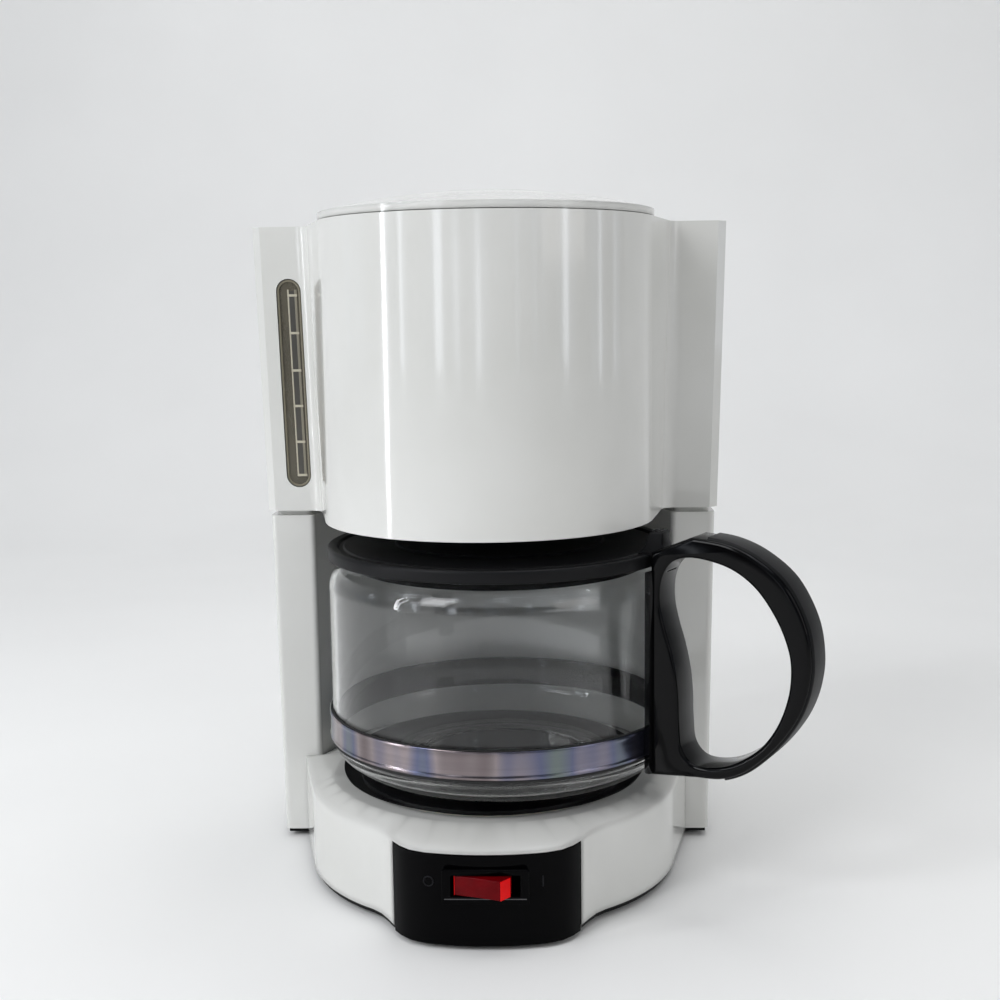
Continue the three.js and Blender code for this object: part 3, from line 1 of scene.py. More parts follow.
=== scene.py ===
# Looks of the drip coffee maker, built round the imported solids. Meshes are in metres; outlines
# and heights are written in millimetres and scaled by MM.
import math

import bmesh
import bpy
from mathutils import Matrix, Vector


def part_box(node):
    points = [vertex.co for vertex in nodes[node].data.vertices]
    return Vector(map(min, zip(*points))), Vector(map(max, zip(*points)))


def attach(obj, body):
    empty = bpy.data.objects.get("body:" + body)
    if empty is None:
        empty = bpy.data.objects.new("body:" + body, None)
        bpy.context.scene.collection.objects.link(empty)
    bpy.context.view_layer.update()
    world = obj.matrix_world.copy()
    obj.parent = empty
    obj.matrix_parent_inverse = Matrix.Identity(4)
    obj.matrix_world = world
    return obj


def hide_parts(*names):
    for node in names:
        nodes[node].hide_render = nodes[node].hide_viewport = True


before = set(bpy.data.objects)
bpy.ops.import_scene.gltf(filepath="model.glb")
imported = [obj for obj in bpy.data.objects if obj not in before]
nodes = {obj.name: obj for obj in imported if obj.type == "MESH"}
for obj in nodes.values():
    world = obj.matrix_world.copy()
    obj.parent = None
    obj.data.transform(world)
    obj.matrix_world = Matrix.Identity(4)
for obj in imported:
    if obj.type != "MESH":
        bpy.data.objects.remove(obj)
bpy.context.view_layer.update()
MM = 0.001
QUARTER = math.pi / 2

plate_low, plate_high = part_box("warming_plate")
plate_axis = (plate_low + plate_high) / 2
switch_height = 22.8
glass_low, glass_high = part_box("carafe_glass")
glass_axis = (glass_low + glass_high) / 2


# Camera, at the photograph's place and angle

def place_camera():
    yaw, pitch, roll = 0.032, 0.1378, 0.0132
    aside, away, height = 19.7, 508.6, 206.3
    eye = Vector((plate_axis.x + aside * MM, plate_axis.y - away * MM, height * MM))
    level = Vector((math.cos(yaw), math.sin(yaw), 0))
    flat = math.cos(pitch)
    forward = Vector((-math.sin(yaw) * flat, math.cos(yaw) * flat, -math.sin(pitch)))
    below = forward.cross(level)
    right = level * math.cos(roll) + below * math.sin(roll)
    up = level * math.sin(roll) - below * math.cos(roll)
    data = bpy.data.cameras.new("camera")
    data.lens = 50.02
    data.sensor_width = 36
    data.shift_x = 0.00105
    data.shift_y = 0.00497
    data.clip_start = 0.01
    camera = bpy.data.objects.new("camera", data)
    bpy.context.scene.collection.objects.link(camera)
    turn = Matrix((right, up, -forward)).transposed()
    camera.matrix_world = Matrix.Translation(eye) @ turn.to_4x4()
    bpy.context.scene.camera = camera


place_camera()


# Materials

def linear(level):
    return level / 12.92 if level <= 0.04045 else ((level + 0.055) / 1.055) ** 2.4


def colour(red, green, blue):
    return (linear(red / 255), linear(green / 255), linear(blue / 255), 1)


def add_node(tree, kind, **settings):
    made = tree.nodes.new(kind)
    for key, value in settings.items():
        setattr(made, key, value)
    return made


def set_stops(ramp, stops):
    """Gives a fresh colour ramp its (position, colour) stops."""
    elements = ramp.color_ramp.elements
    elements[0].position, elements[0].color = stops[0]
    elements[1].position, elements[1].color = stops[-1]
    for position, value in stops[1:-1]:
        elements.new(position).color = value


class Look:
    """A material with its shader and the few node chains that the looks share."""

    def __init__(self, name, **sockets):
        self.material = bpy.data.materials.new(name)
        self.material.use_nodes = True
        self.tree = self.material.node_tree
        self.shader = self.tree.nodes["Principled BSDF"]
        for key, value in sockets.items():
            socket = key.replace("_", " ").title().replace("Ior", "IOR")
            self.shader.inputs[socket].default_value = value

    def node(self, kind, **settings):
        return add_node(self.tree, kind, **settings)

    def link(self, source, target):
        self.tree.links.new(source, target)

    def place(self, stretch=(1, 1, 1)):
        """Coordinates in metres in the object's own frame, stretched for streaks."""
        where = self.node("ShaderNodeTexCoord")
        mapping = self.node("ShaderNodeMapping")
        mapping.inputs["Scale"].default_value = stretch
        self.link(where.outputs["Object"], mapping.inputs["Vector"])
        return mapping.outputs["Vector"]

    def noise(self, scale, detail=3, stretch=(1, 1, 1), roughness=0.5):
        made = self.node("ShaderNodeTexNoise")
        made.inputs["Scale"].default_value = scale
        made.inputs["Detail"].default_value = detail
        made.inputs["Roughness"].default_value = roughness
        self.link(self.place(stretch), made.inputs["Vector"])
        return made.outputs["Fac"]

    def ramp(self, factor, *stops):
        made = self.node("ShaderNodeValToRGB")
        set_stops(made, stops)
        self.link(factor, made.inputs["Fac"])
        return made.outputs["Color"]

    def tint(self, factor, low, high):
        self.link(self.ramp(factor, (0.3, low), (0.7, high)), self.shader.inputs["Base Color"])

    def polish(self, factor, low, high):
        made = self.node("ShaderNodeMapRange")
        made.inputs["To Min"].default_value = low
        made.inputs["To Max"].default_value = high
        self.link(factor, made.inputs["Value"])
        self.link(made.outputs["Result"], self.shader.inputs["Roughness"])

    def bump(self, factor, distance, strength=1.0, rounding=0):
        """A grain of this depth in metres; with a rounding, the shading also runs round edges."""
        made = self.node("ShaderNodeBump")
        if rounding:
            soft = self.node("ShaderNodeBevel", samples=6)
            soft.inputs["Radius"].default_value = rounding
            self.link(soft.outputs["Normal"], made.inputs["Normal"])
        made.inputs["Distance"].default_value = distance
        made.inputs["Strength"].default_value = strength
        self.link(factor, made.inputs["Height"])
        self.link(made.outputs["Normal"], self.shader.inputs["Normal"])


def plastic(name, low, high, dull, bright, grain=900, depth=0.00002, rounding=0, **sockets):
    """Moulded plastic: a faint drift of colour, an uneven polish and a fine surface grain."""
    look = Look(name, **sockets)
    look.tint(look.noise(14, 4), low, high)
    look.polish(look.noise(60, 4), bright, dull)
    look.bump(look.noise(grain, 2), depth, rounding=rounding)
    return look.material


def glossy_white(name, rounding):
    return plastic(name, colour(212, 212, 208), colour(221, 221, 218), dull=0.14, bright=0.06,
                   grain=260, depth=0.000012, rounding=rounding, specular_ior_level=0.5,
                   coat_weight=0.3, coat_roughness=0.04)


def mark_plastic(name, low, high, dull, bright, **sockets):
    return plastic(name, low, high, dull=dull, bright=bright, depth=0.00003, **sockets)


white = glossy_white("white_gloss_plastic", 0)
crown_white = glossy_white("white_rounded_plastic", 0.004)
inner_white = plastic("white_inner_plastic", colour(205, 205, 198), colour(216, 216, 210),
                      dull=0.5, bright=0.35)
gloss_black = plastic("black_gloss_plastic", colour(3, 3, 4), colour(7, 7, 8), dull=0.16,
                      bright=0.06, grain=500, depth=0.000006, specular_ior_level=0.14)
panel_black = plastic("black_panel_plastic", colour(2, 2, 3), colour(5, 5, 6), dull=0.2,
                      bright=0.1, grain=500, depth=0.000006, specular_ior_level=0.05)
black = plastic("black_satin_plastic", colour(9, 9, 10), colour(15, 15, 16), dull=0.45,
                bright=0.3, grain=1500, depth=0.00003, specular_ior_level=0.14)
matte_black = plastic("black_matte_plastic", colour(13, 13, 14), colour(21, 21, 23), dull=0.5,
                      bright=0.38, grain=1300, depth=0.00004, specular_ior_level=0.16)
rubber = plastic("black_rubber", colour(20, 20, 20), colour(32, 32, 31), dull=0.85, bright=0.7,
                 grain=1100, depth=0.0001)
silicone = plastic("milky_silicone", colour(200, 196, 184), colour(218, 214, 202), dull=0.55,
                   bright=0.42, grain=700, depth=0.00003, subsurface_weight=0.2,
                   subsurface_scale=0.003)
nylon = plastic("cream_nylon", colour(205, 202, 190), colour(219, 216, 206), dull=0.45,
                bright=0.33, grain=800, depth=0.00003)
sleeve = plastic("lead_sleeve", colour(190, 188, 180), colour(206, 204, 198), dull=0.6,
                 bright=0.48, depth=0.00005)


def metal(name, low, high, dull, bright, stretch, depth, **sockets):
    """Metal with fine streaks of tone and polish, drawn out along the small axes of stretch."""
    look = Look(name, metallic=1.0, **sockets)
    streaks = look.noise(700, 5, stretch, 0.7)
    look.tint(streaks, low, high)
    look.polish(streaks, bright, dull)
    look.bump(streaks, depth)
    return look.material


steel = metal("bright_steel", colour(150, 150, 152), colour(196, 195, 194), dull=0.3,
              bright=0.18, stretch=(0.05, 0.05, 1), depth=0.00001, anisotropic=0.4)
screw_steel = metal("plated_steel", colour(168, 168, 166), colour(205, 204, 200), dull=0.45,
                    bright=0.25, stretch=(1, 1, 1), depth=0.00002)
aluminium = metal("cast_aluminium", colour(165, 167, 169), colour(205, 206, 207), dull=0.55,
                  bright=0.38, stretch=(1, 1, 0.3), depth=0.00003)
brass = metal("brass_strip", colour(165, 132, 70), colour(196, 160, 92), dull=0.45, bright=0.3,
              stretch=(0.2, 1, 1), depth=0.00002)


def make_painted_reflection_steel():
    """Rolled steel whose colour carries broad upright patches of painted reflection, from brown
    through grey and bluish to near white, and faint fine lines along the band.
    """
    look = Look("painted_reflection_steel", metallic=1.0, anisotropic=0.4)
    reflection_patches = look.noise(34, 2, (1, 1, 0.08), 0.6)
    lines = look.noise(900, 3, (0.02, 0.02, 1))
    # Painted reflections: the patch colours stand for the room mirrored in the steel.
    tone = look.ramp(reflection_patches, (0.3, colour(74, 62, 62)), (0.42, colour(152, 142, 144)),
                     (0.5, colour(104, 108, 134)), (0.58, colour(122, 132, 122)),
                     (0.68, colour(228, 228, 230)))
    shade = look.ramp(lines, (0.35, colour(190, 190, 190)), (0.65, colour(255, 255, 255)))
    mixed = look.node("ShaderNodeMix", data_type="RGBA", blend_type="MULTIPLY")
    mixed.inputs["Factor"].default_value = 0.25
    look.link(tone, mixed.inputs["A"])
    look.link(shade, mixed.inputs["B"])
    look.link(mixed.outputs["Result"], look.shader.inputs["Base Color"])
    look.polish(lines, 0.16, 0.26)
    look.bump(lines, 0.000006)
    return look.material


def make_plate_coating():
    look = Look("plate_coating", specular_ior_level=0.16)
    look.tint(look.noise(30, 5), colour(9, 9, 10), colour(18, 18, 19))
    look.polish(look.noise(45, 5), 0.24, 0.42)
    look.bump(look.noise(2200, 2), 0.00003)
    return look.material


def make_glass():
    look = Look("clear_glass", transmission_weight=1.0, ior=1.4)
    look.tint(look.noise(9, 2), colour(252, 253, 253), colour(255, 255, 255))
    look.polish(look.noise(20, 3), 0.0, 0.01)
    look.bump(look.noise(24, 2, (1, 1, 0.35)), 0.0001, strength=0.15)
    return look.material


def make_smoke(name, low, high, weight, rough):
    look = Look(name, transmission_weight=weight, ior=1.5)
    look.tint(look.noise(60, 4, (1, 1, 0.25)), low, high)
    look.polish(look.noise(120, 3), rough, rough + 0.12)
    look.bump(look.noise(500, 2), 0.00002)
    return look.material


def make_red(name, low, high):
    look = Look(name, ior=1.45, specular_ior_level=0.1)
    look.tint(look.noise(160, 4), low, high)
    look.polish(look.noise(300, 3), 0.12, 0.28)
    look.bump(look.noise(900, 3), 0.00004)
    return look.material


plate_coating = make_plate_coating()
painted_reflection_steel = make_painted_reflection_steel()
glass = make_glass()
smoke = make_smoke("smoked_window", colour(96, 91, 78), colour(132, 126, 110), weight=0.5,
                   rough=0.12)
tank_plastic = make_smoke("tank_plastic", colour(150, 148, 138), colour(176, 174, 164),
                          weight=0.35, rough=0.3)
red = make_red("red_translucent_plastic", colour(84, 1, 6), colour(102, 2, 9))
# A brighter copy of the rocker's red: painted highlight for the rocker's end facets.
red_painted_highlight = make_red("red_painted_highlight_plastic", colour(228, 6, 10), colour(242, 14, 16))
mark = mark_plastic("window_mark", colour(176, 170, 152), colour(198, 192, 174), 0.5, 0.4)
mark_black = mark_plastic("panel_mark", colour(24, 24, 27), colour(31, 31, 34), 0.5, 0.4,
                          specular_ior_level=0.1)
# Grey for the painted highlight along the bezel's lower edge.
bezel_highlight = mark_plastic("bezel_edge_highlight", colour(60, 60, 62), colour(88, 88, 90), 0.4, 0.3)
mark_dark = mark_plastic("window_rim", colour(116, 110, 94), colour(134, 128, 110), 0.45, 0.35)
# A dimmer copy of the rail colour: painted shade for the window's right rail.
rail_painted_shade = mark_plastic("window_rail", colour(122, 117, 103), colour(138, 132, 117), 0.4, 0.3)
# Dark grey for a painted reflection: the dark band seen inside the window lens.
stripe = mark_plastic("window_painted_reflection", colour(66, 64, 60), colour(86, 84, 78), 0.3, 0.2)

finishes = {
    white: ["tower_shell", "rear_cover", "brew_housing"],
    crown_white: ["base_shell", "top_lid"],
    inner_white: ["housing_floor"],
    gloss_black: ["carafe_handle"],
    panel_black: ["control_panel", "switch_housing"],
    black: ["base_plate", "filter_basket"],
    matte_black: ["carafe_lid"],
    rubber: ["foot_front_left", "foot_front_right", "foot_rear_left", "foot_rear_right",
             "cord_gland"],
    silicone: ["plate_seal", "inlet_hose", "outlet_hose"],
    nylon: ["thermostat", "thermal_fuse", "check_valve", "riser_tube", "water_spreader"],
    sleeve: ["lead_supply", "lead_return", "lead_switched", "lead_heater"],
    steel: ["carafe_band", "carafe_lid_pin", "lid_pin_left", "lid_pin_right"],
    screw_steel: [name for name in nodes if "screw" in name] + ["heating_element", "heater_clamp"],
    aluminium: ["boiling_tube"],
    brass: ["switch_contact", "switch_terminal_left", "switch_terminal_right"],
    plate_coating: ["warming_plate"],
    glass: ["carafe_glass"],
    smoke: ["water_level_window"],
    tank_plastic: ["reservoir"],
    red: ["switch_rocker"],
}
for material, names in finishes.items():
    for name in names:
        for slot in nodes[name].material_slots:
            slot.material = material


# Shading of the solids: welded, with rounded edges, and smooth where the surface is curved

def make_smoother(name, degrees):
    """Geometry nodes that shade smooth except along edges sharper than this many degrees."""
    group = bpy.data.node_groups.new(name, "GeometryNodeTree")
    group.interface.new_socket("Geometry", in_out="INPUT", socket_type="NodeSocketGeometry")
    group.interface.new_socket("Geometry", in_out="OUTPUT", socket_type="NodeSocketGeometry")
    made = {kind: group.nodes.new(kind) for kind in (
        "NodeGroupInput", "NodeGroupOutput", "GeometryNodeInputMeshEdgeAngle",
        "FunctionNodeCompare", "GeometryNodeRemoveAttribute")}
    angle, sharper = made["GeometryNodeInputMeshEdgeAngle"], made["FunctionNodeCompare"]
    unmark = made["GeometryNodeRemoveAttribute"]
    faces = group.nodes.new("GeometryNodeSetShadeSmooth")
    edges = group.nodes.new("GeometryNodeSetShadeSmooth")
    faces.domain = "FACE"
    faces.inputs["Shade Smooth"].default_value = True
    edges.domain = "EDGE"
    edges.inputs["Shade Smooth"].default_value = False
    sharper.data_type = "FLOAT"
    sharper.operation = "GREATER_THAN"
    sharper.inputs[1].default_value = math.radians(degrees)
    unmark.inputs["Name"].default_value = "custom_normal"
    chain = [made["NodeGroupInput"], unmark, faces, edges, made["NodeGroupOutput"]]
    for source, target in zip(chain, chain[1:]):
        group.links.new(source.outputs["Geometry"], target.inputs["Geometry"])
    group.links.new(angle.outputs["Unsigned Angle"], sharper.inputs[0])
    group.links.new(sharper.outputs["Result"], edges.inputs["Selection"])
    return group


sharp_degrees = 32
smoother = make_smoother("smooth_by_angle", sharp_degrees)


def soften(piece, width):
    """Welds a solid, rounds its edges by this width in metres, if any, and shades it smooth."""
    weld = piece.modifiers.new("weld", "WELD")
    weld.merge_threshold = 0.01 * MM
    if width:
        flat = piece.modifiers.new("flat", "DECIMATE")
        flat.decimate_type = "DISSOLVE"
        flat.angle_limit = math.radians(0.4)
        bevel = piece.modifiers.new("edges", "BEVEL")
        bevel.limit_method = "ANGLE"
        bevel.angle_limit = math.radians(35)
        bevel.width = width
        bevel.segments = 3
    smooth = piece.modifiers.new("smooth", "NODES")
    smooth.node_group = smoother
    if width:
        even = piece.modifiers.new("even", "WEIGHTED_NORMAL")
        even.keep_sharp = True
        even.mode = "FACE_AREA_WITH_ANGLE"


edge_sizes = {
    "base_shell": 0.5, "tower_shell": 0.5, "rear_cover": 0.5, "brew_housing": 0.5, "top_lid": 0.5,
    "control_panel": 0.3, "switch_housing": 0.3, "carafe_lid": 0.5, "filter_basket": 0.4,
    "base_plate": 0.3, "warming_plate": 0.4, "carafe_handle": 0.5, "switch_rocker": 0.4,
}
for name, piece in nodes.items():
    soften(piece, edge_sizes.get(name, 0) * MM)


# Helpers for the modelled pieces: outlines in millimetres, meshes in metres

def round_corners(points, steps=4):
    """Turns the (x, y) or (x, y, radius) corners of a closed outline into short curves."""
    made = []
    count, most = len(points), 0.49
    for i, corner in enumerate(points):
        here = Vector(corner[:2])
        radius = corner[2] if len(corner) > 2 else 0
        if not radius:
            made.append(here)
            continue
        to_last = Vector(points[i - 1][:2]) - here
        to_next = Vector(points[(i + 1) % count][:2]) - here
        reach = min(radius, to_last.length * most, to_next.length * most)
        start = here + to_last.normalized() * reach
        end = here + to_next.normalized() * reach
        for k in range(steps + 1):
            share = k / steps
            made.append(start * (1 - share) ** 2 + here * 2 * share * (1 - share)
                        + end * share ** 2)
    return made


def pairs_of(points):
    return [tuple(p) for p in points]


def on_axis(axis, height=0):
    return Matrix.Translation((axis.x, axis.y, height))


def polar(radius, angle, height):
    return Vector((radius * math.cos(angle), radius * math.sin(angle), height))


def tube_faces(rings, size):
    """Faces of a closed tube of rings of this size, laid one after the other, with both ends."""
    faces = []
    for i in range(rings - 1):
        for k in range(size):
            nxt = (k + 1) % size
            faces.append((i * size + k, i * size + nxt, (i + 1) * size + nxt, (i + 1) * size + k))
    faces.append(tuple(range(size)))
    faces.append(tuple((rings - 1) * size + k for k in reversed(range(size))))
    return faces


def spline(points, per=6):
    """A smooth curve through the points."""
    made = []
    points = [Vector(p) for p in points]
    for i in range(len(points) - 1):
        a = points[max(i - 1, 0)]
        b, c = points[i], points[i + 1]
        d = points[min(i + 2, len(points) - 1)]
        for k in range(per):
            t = k / per
            made.append(0.5 * (2 * b + (c - a) * t + (2 * a - 5 * b + 4 * c - d) * t * t
                               + (3 * b - a - 3 * c + d) * t ** 3))
    made.append(points[-1])
    return made


def piece_of(name, points, faces, material, body, place, sharp=sharp_degrees):
    """A piece from points in millimetres, which place then puts on the machine."""
    mesh = bpy.data.meshes.new(name)
    mesh.from_pydata(pairs_of(points), [], faces)
    mesh.transform(place @ Matrix.Scale(MM, 4))
    mesh.validate()
    return finish_piece(name, mesh, material, body, sharp)


def finish_piece(name, mesh, material, body, sharp):
    mesh.materials.clear()
    mesh.materials.append(material)
    mesh.polygons.foreach_set("use_smooth", [True] * len(mesh.polygons))
    mesh.set_sharp_from_angle(angle=math.radians(sharp))
    piece = bpy.data.objects.new(name, mesh)
    bpy.context.scene.collection.objects.link(piece)
    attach(piece, body)
    return piece


def lathe(name, profile, material, body, centre, steps=144, push=None, sharp=sharp_degrees):
    """Turns a closed (radius, height) profile in millimetres round an upright axis.

    Where push is given, it says how much further out a point at that angle and height lies.
    """
    points, faces, rings = [], [], []
    for radius, height in profile:
        if radius < 1e-6:
            rings.append([len(points)])
            points.append(Vector((0, 0, height)))
            continue
        rings.append(list(range(len(points), len(points) + steps)))
        for k in range(steps):
            angle = 2 * math.pi * k / steps
            far = radius + (push(angle, height) if push else 0)
            points.append(polar(far, angle, height))
    pairs = list(zip(rings, rings[1:]))
    if len(rings[0]) > 1 or len(rings[-1]) > 1:
        pairs.append((rings[-1], rings[0]))
    for one, two in pairs:
        for k in range(steps):
            nxt = (k + 1) % steps
            if len(one) == 1 and len(two) == 1:
                continue
            if len(one) == 1:
                faces.append((one[0], two[nxt], two[k]))
            elif len(two) == 1:
                faces.append((one[k], one[nxt], two[0]))
            else:
                faces.append((one[k], one[nxt], two[nxt], two[k]))
    return outward(piece_of(name, points, faces, material, body, on_axis(centre), sharp))


def outward(piece):
    """Turns all faces of a piece outwards."""
    work = bmesh.new()
    work.from_mesh(piece.data)
    bmesh.ops.recalc_face_normals(work, faces=work.faces)
    work.to_mesh(piece.data)
    work.free()
    return piece


def final_mesh(piece):
    """The mesh of a piece with its modifiers applied."""
    bpy.context.view_layer.update()
    graph = bpy.context.evaluated_depsgraph_get()
    return bpy.data.meshes.new_from_object(piece.evaluated_get(graph))


def slab(name, loops, depth, bevel, material, body, place, sharp=40):
    """A plate cut to the outlines in millimetres, with rounded edges, its middle plane at zero."""
    curve = bpy.data.curves.new(name, "CURVE")
    curve.dimensions = "2D"
    curve.fill_mode = "BOTH"
    curve.extrude = (depth / 2 - bevel) * MM
    curve.bevel_depth = bevel * MM
    curve.bevel_resolution = 2
    curve.offset = -bevel * MM
    for loop in loops:
        line = curve.splines.new("POLY")
        line.points.add(len(loop) - 1)
        for dot, corner in zip(line.points, loop):
            dot.co = (corner[0] * MM, corner[1] * MM, 0, 1)
        line.use_cyclic_u = True
    shape = bpy.data.objects.new(name + "_curve", curve)
    bpy.context.scene.collection.objects.link(shape)
    mesh = final_mesh(shape)
    bpy.data.objects.remove(shape)
    bpy.data.curves.remove(curve)
    mesh.transform(place)
    mesh.name = name
    return finish_piece(name, mesh, material, body, sharp)


def sweep(name, path, section, material, body, place, sharp=40):
    """Carries a closed section (outwards, across) along a flat path, both in millimetres."""
    points = []
    count = len(path)
    for i, here in enumerate(path):
        ahead = (path[min(i + 1, count - 1)] - path[max(i - 1, 0)]).normalized()
        out = Vector((ahead.y, -ahead.x))
        for outwards, across in section:
            spot = here + out * outwards
            points.append(Vector((spot.x, spot.y, across)))
    faces = tube_faces(count, len(section))
    return outward(piece_of(name, points, faces, material, body, place, sharp))


def raised(points, height):
    return [(across, up + height) for across, up in points]


def turned_glass():
    """The blown body of the carafe, as points up its outside and down its inside."""
    radius, inner_radius, foot, shoulder = 63.2, 61.2, 36.4, 107.5
    belly, top = foot + 14.6, 117.9
    outside = raised([(0, 3.6), (24, 3.5), (31, 3.1), (35.6, 1.3), (38, 0.3), (40, 0), (42, 0.3),
                      (44.2, 1.1), (48.6, 2.2), (52.6, 3.6), (57.2, 6.0), (60.4, 8.9),
                      (62.4, 11.8)], foot)
    wall = [Vector((radius, z)) for z in (60, 75, 90)]
    neck = raised([(radius, 0), (62.9, 2.6), (62.1, 4.8), (60.6, 6.8), (58.6, 8.2),
                   (57.5, 9.2)], shoulder)
    outer = spline(outside + [(radius, belly)], 3)[:-1] + wall + spline([(radius, 100)] + neck, 3)
    lip = [(57.3, top - 0.5), (56.9, top), (56.0, top), (55.5, top - 0.5)]
    inner = raised([(55.4, 9.0), (57.2, 6.6), (59.2, 5.0), (60.5, 3.0), (61.1, 0.6),
                    (inner_radius, -2)], shoulder)
    inner += [(inner_radius, z) for z in (95, 80, 62, belly)]
    inner += raised([(60.3, 12.2), (58.2, 9.4), (55.2, 7.4), (51.4, 5.8), (47, 4.8), (42, 4.4),
                     (36, 5.4), (30, 6.0), (15, 6.3), (0, 6.4)], foot)

    def spout(angle, height):
        middle, spread, reach, start, rise = 151, 16, 2.4, 108, 10
        apart = abs((math.degrees(angle) - middle + 180) % 360 - 180)
        lift = max(0, (height - start) / rise)
        return reach * lift ** 2 * max(0, 1 - (apart / spread) ** 2) ** 2

    profile = pairs_of(outer) + lip + pairs_of(spline(inner, 3))
    made = lathe("carafe_glass_blown", profile, glass, "carafe", glass_axis, 160, spout, 60)
    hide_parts("carafe_glass")


def steel_band():
    low, high, out = 51.9, 61.9, 64.3
    dip = out - 0.25
    profile = round_corners([(out - 0.8, low), (out - 0.1, low, 0.3), (out, low + 0.9),
                             (dip, low + 1.6, 0.4), (dip, high - 1.6, 0.4), (out, high - 0.9),
                             (out - 0.1, high, 0.3), (out - 0.8, high)])
    made = lathe("carafe_band_rolled", pairs_of(profile), painted_reflection_steel, "carafe", glass_axis, 160,
                 sharp=25)
    half, length = 4, 5.5
    outline = round_corners([(out - 0.4, -half), (out + length, -half, 0.6),
                             (out + length, half, 0.6), (out - 0.4, half)])
    middle = Matrix.Translation((0, 0, (low + high) / 2 * MM))
    bracket = slab("carafe_band_bracket", [outline], 2 * half, 0.4, steel, "carafe",
                   handle_turn() @ middle)
    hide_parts("carafe_band")
    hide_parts("carafe_band")
    # A thin black ring under the band and inside it: it darkens the band's lower edge and, seen
    # through the glass, the inside of the far band.
    dark_ring = round_corners([(63.24, 50.9), (64.1, 50.9, 0.2), (64.1, 51.75, 0.2), (63.44, 51.75),
                           (63.44, 62.0), (63.9, 62.0), (63.9, 62.35, 0.15), (63.24, 62.35)])
    lathe("carafe_band_dark_ring", pairs_of(dark_ring), rubber, "carafe", glass_axis)


def handle_turn():
    """The handle's own frame: its x axis points away from the carafe's axis."""
    return on_axis(glass_axis) @ Matrix.Rotation(math.radians(-29), 4, "Z")


def handle_plane():
    """The frame of outlines (distance from the carafe's axis, height) across the handle."""
    return handle_turn() @ Matrix.Rotation(QUARTER, 4, "X")


def handle():
    """The loop: outside and finger hole are shares of the box from near, low to far, high."""
    near, far, low, high = 64.6, 122.5, 45.0, 131.0
    thick, proud = 15, 0.8
    grip = [(0.3, 0.01), (0.45, 0.018), (0.585, 0.055), (0.71, 0.122), (0.835, 0.217),
            (0.93, 0.32), (0.985, 0.43), (1, 0.55), (0.96, 0.693), (0.838, 0.84), (0.66, 0.935),
            (0.47, 0.985), (0.257, 1)]
    finger = [(0.19, 0.903), (0.314, 0.907), (0.5, 0.877), (0.653, 0.808), (0.774, 0.699),
              (0.845, 0.59), (0.866, 0.5), (0.85, 0.392), (0.785, 0.27), (0.67, 0.165),
              (0.485, 0.085), (0.3, 0.068), (0.205, 0.12), (0.184, 0.22), (0.178, 0.33),
              (0.162, 0.43), (0.128, 0.53), (0.086, 0.62), (0.057, 0.71), (0.062, 0.8),
              (0.11, 0.87)]

    def placed(shares):
        return [Vector((near + (far - near) * a, low + (high - low) * b)) for a, b in shares]

    outer = spline(placed(grip))
    inset = []
    for i, here in enumerate(outer):
        ahead = (outer[min(i + 1, len(outer) - 1)] - outer[max(i - 1, 0)]).normalized()
        inset.append(here + Vector((-ahead.y, ahead.x)) * proud)
    body_loop = [Vector((near, low))] + inset + [Vector((near, high - 7))]
    hole = placed(finger)
    hole = spline([hole[-1]] + hole + [hole[0], hole[1]])[6:-6]
    upright = handle_plane()
    core = slab("carafe_handle_core", [body_loop, hole[:-1]], thick, 1.3, gloss_black, "carafe",
                upright)
    cut_slot(core, upright)
    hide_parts("carafe_handle")
    half, depth = 6.1, 2.0
    section = round_corners([(0, -half, 1.1), (0, half, 1.1), (-depth, half), (-depth, -half)], 3)
    sweep("carafe_handle_grip", outer[7:-3], pairs_of(section), matte_black, "carafe", upright)
    saddle(64.45, 66.4, 46.0, 117.6, 8.4)


def cut_slot(core, upright):
    """Cuts the slot in the top of the handle in which the lid's lever lies."""
    left, right, low, high = 60, 69.5, 117, 140
    corners = [Vector((left, low)), Vector((right, low)), Vector((right, high)),
               Vector((left, high))]
    cutter = slab("slot_cut", [corners], 7.6, 0.1, gloss_black, "carafe", upright)
    cut = core.modifiers.new("slot", "BOOLEAN")
    cut.operation = "DIFFERENCE"
    cut.solver = "EXACT"
    cut.object = cutter
    mesh = final_mesh(core)
    core.modifiers.clear()
    core.data = mesh
    mesh.set_sharp_from_angle(angle=math.radians(40))
    bpy.data.objects.remove(cutter)


def saddle(inner, outer, low, high, half_degrees):
    """The flange of the handle that follows the round glass and band."""
    points, steps, chamfer, thinner = [], 16, 0.4, 0.35
    edge = [(inner, low + chamfer), (inner + chamfer, low), (outer, low), (outer, high),
            (inner + 0.5, high), (inner, high - chamfer)]
    for i in range(steps + 1):
        turn = math.radians(-half_degrees + 2 * half_degrees * i / steps)
        inset = thinner if i in (0, steps) else 0
        points += [polar(radius - inset, turn, z) for radius, z in edge]
    faces = tube_faces(steps + 1, len(edge))
    made = outward(piece_of("carafe_handle_saddle", points, faces, gloss_black, "carafe",
                            handle_turn(), 40))
    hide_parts("carafe_handle")


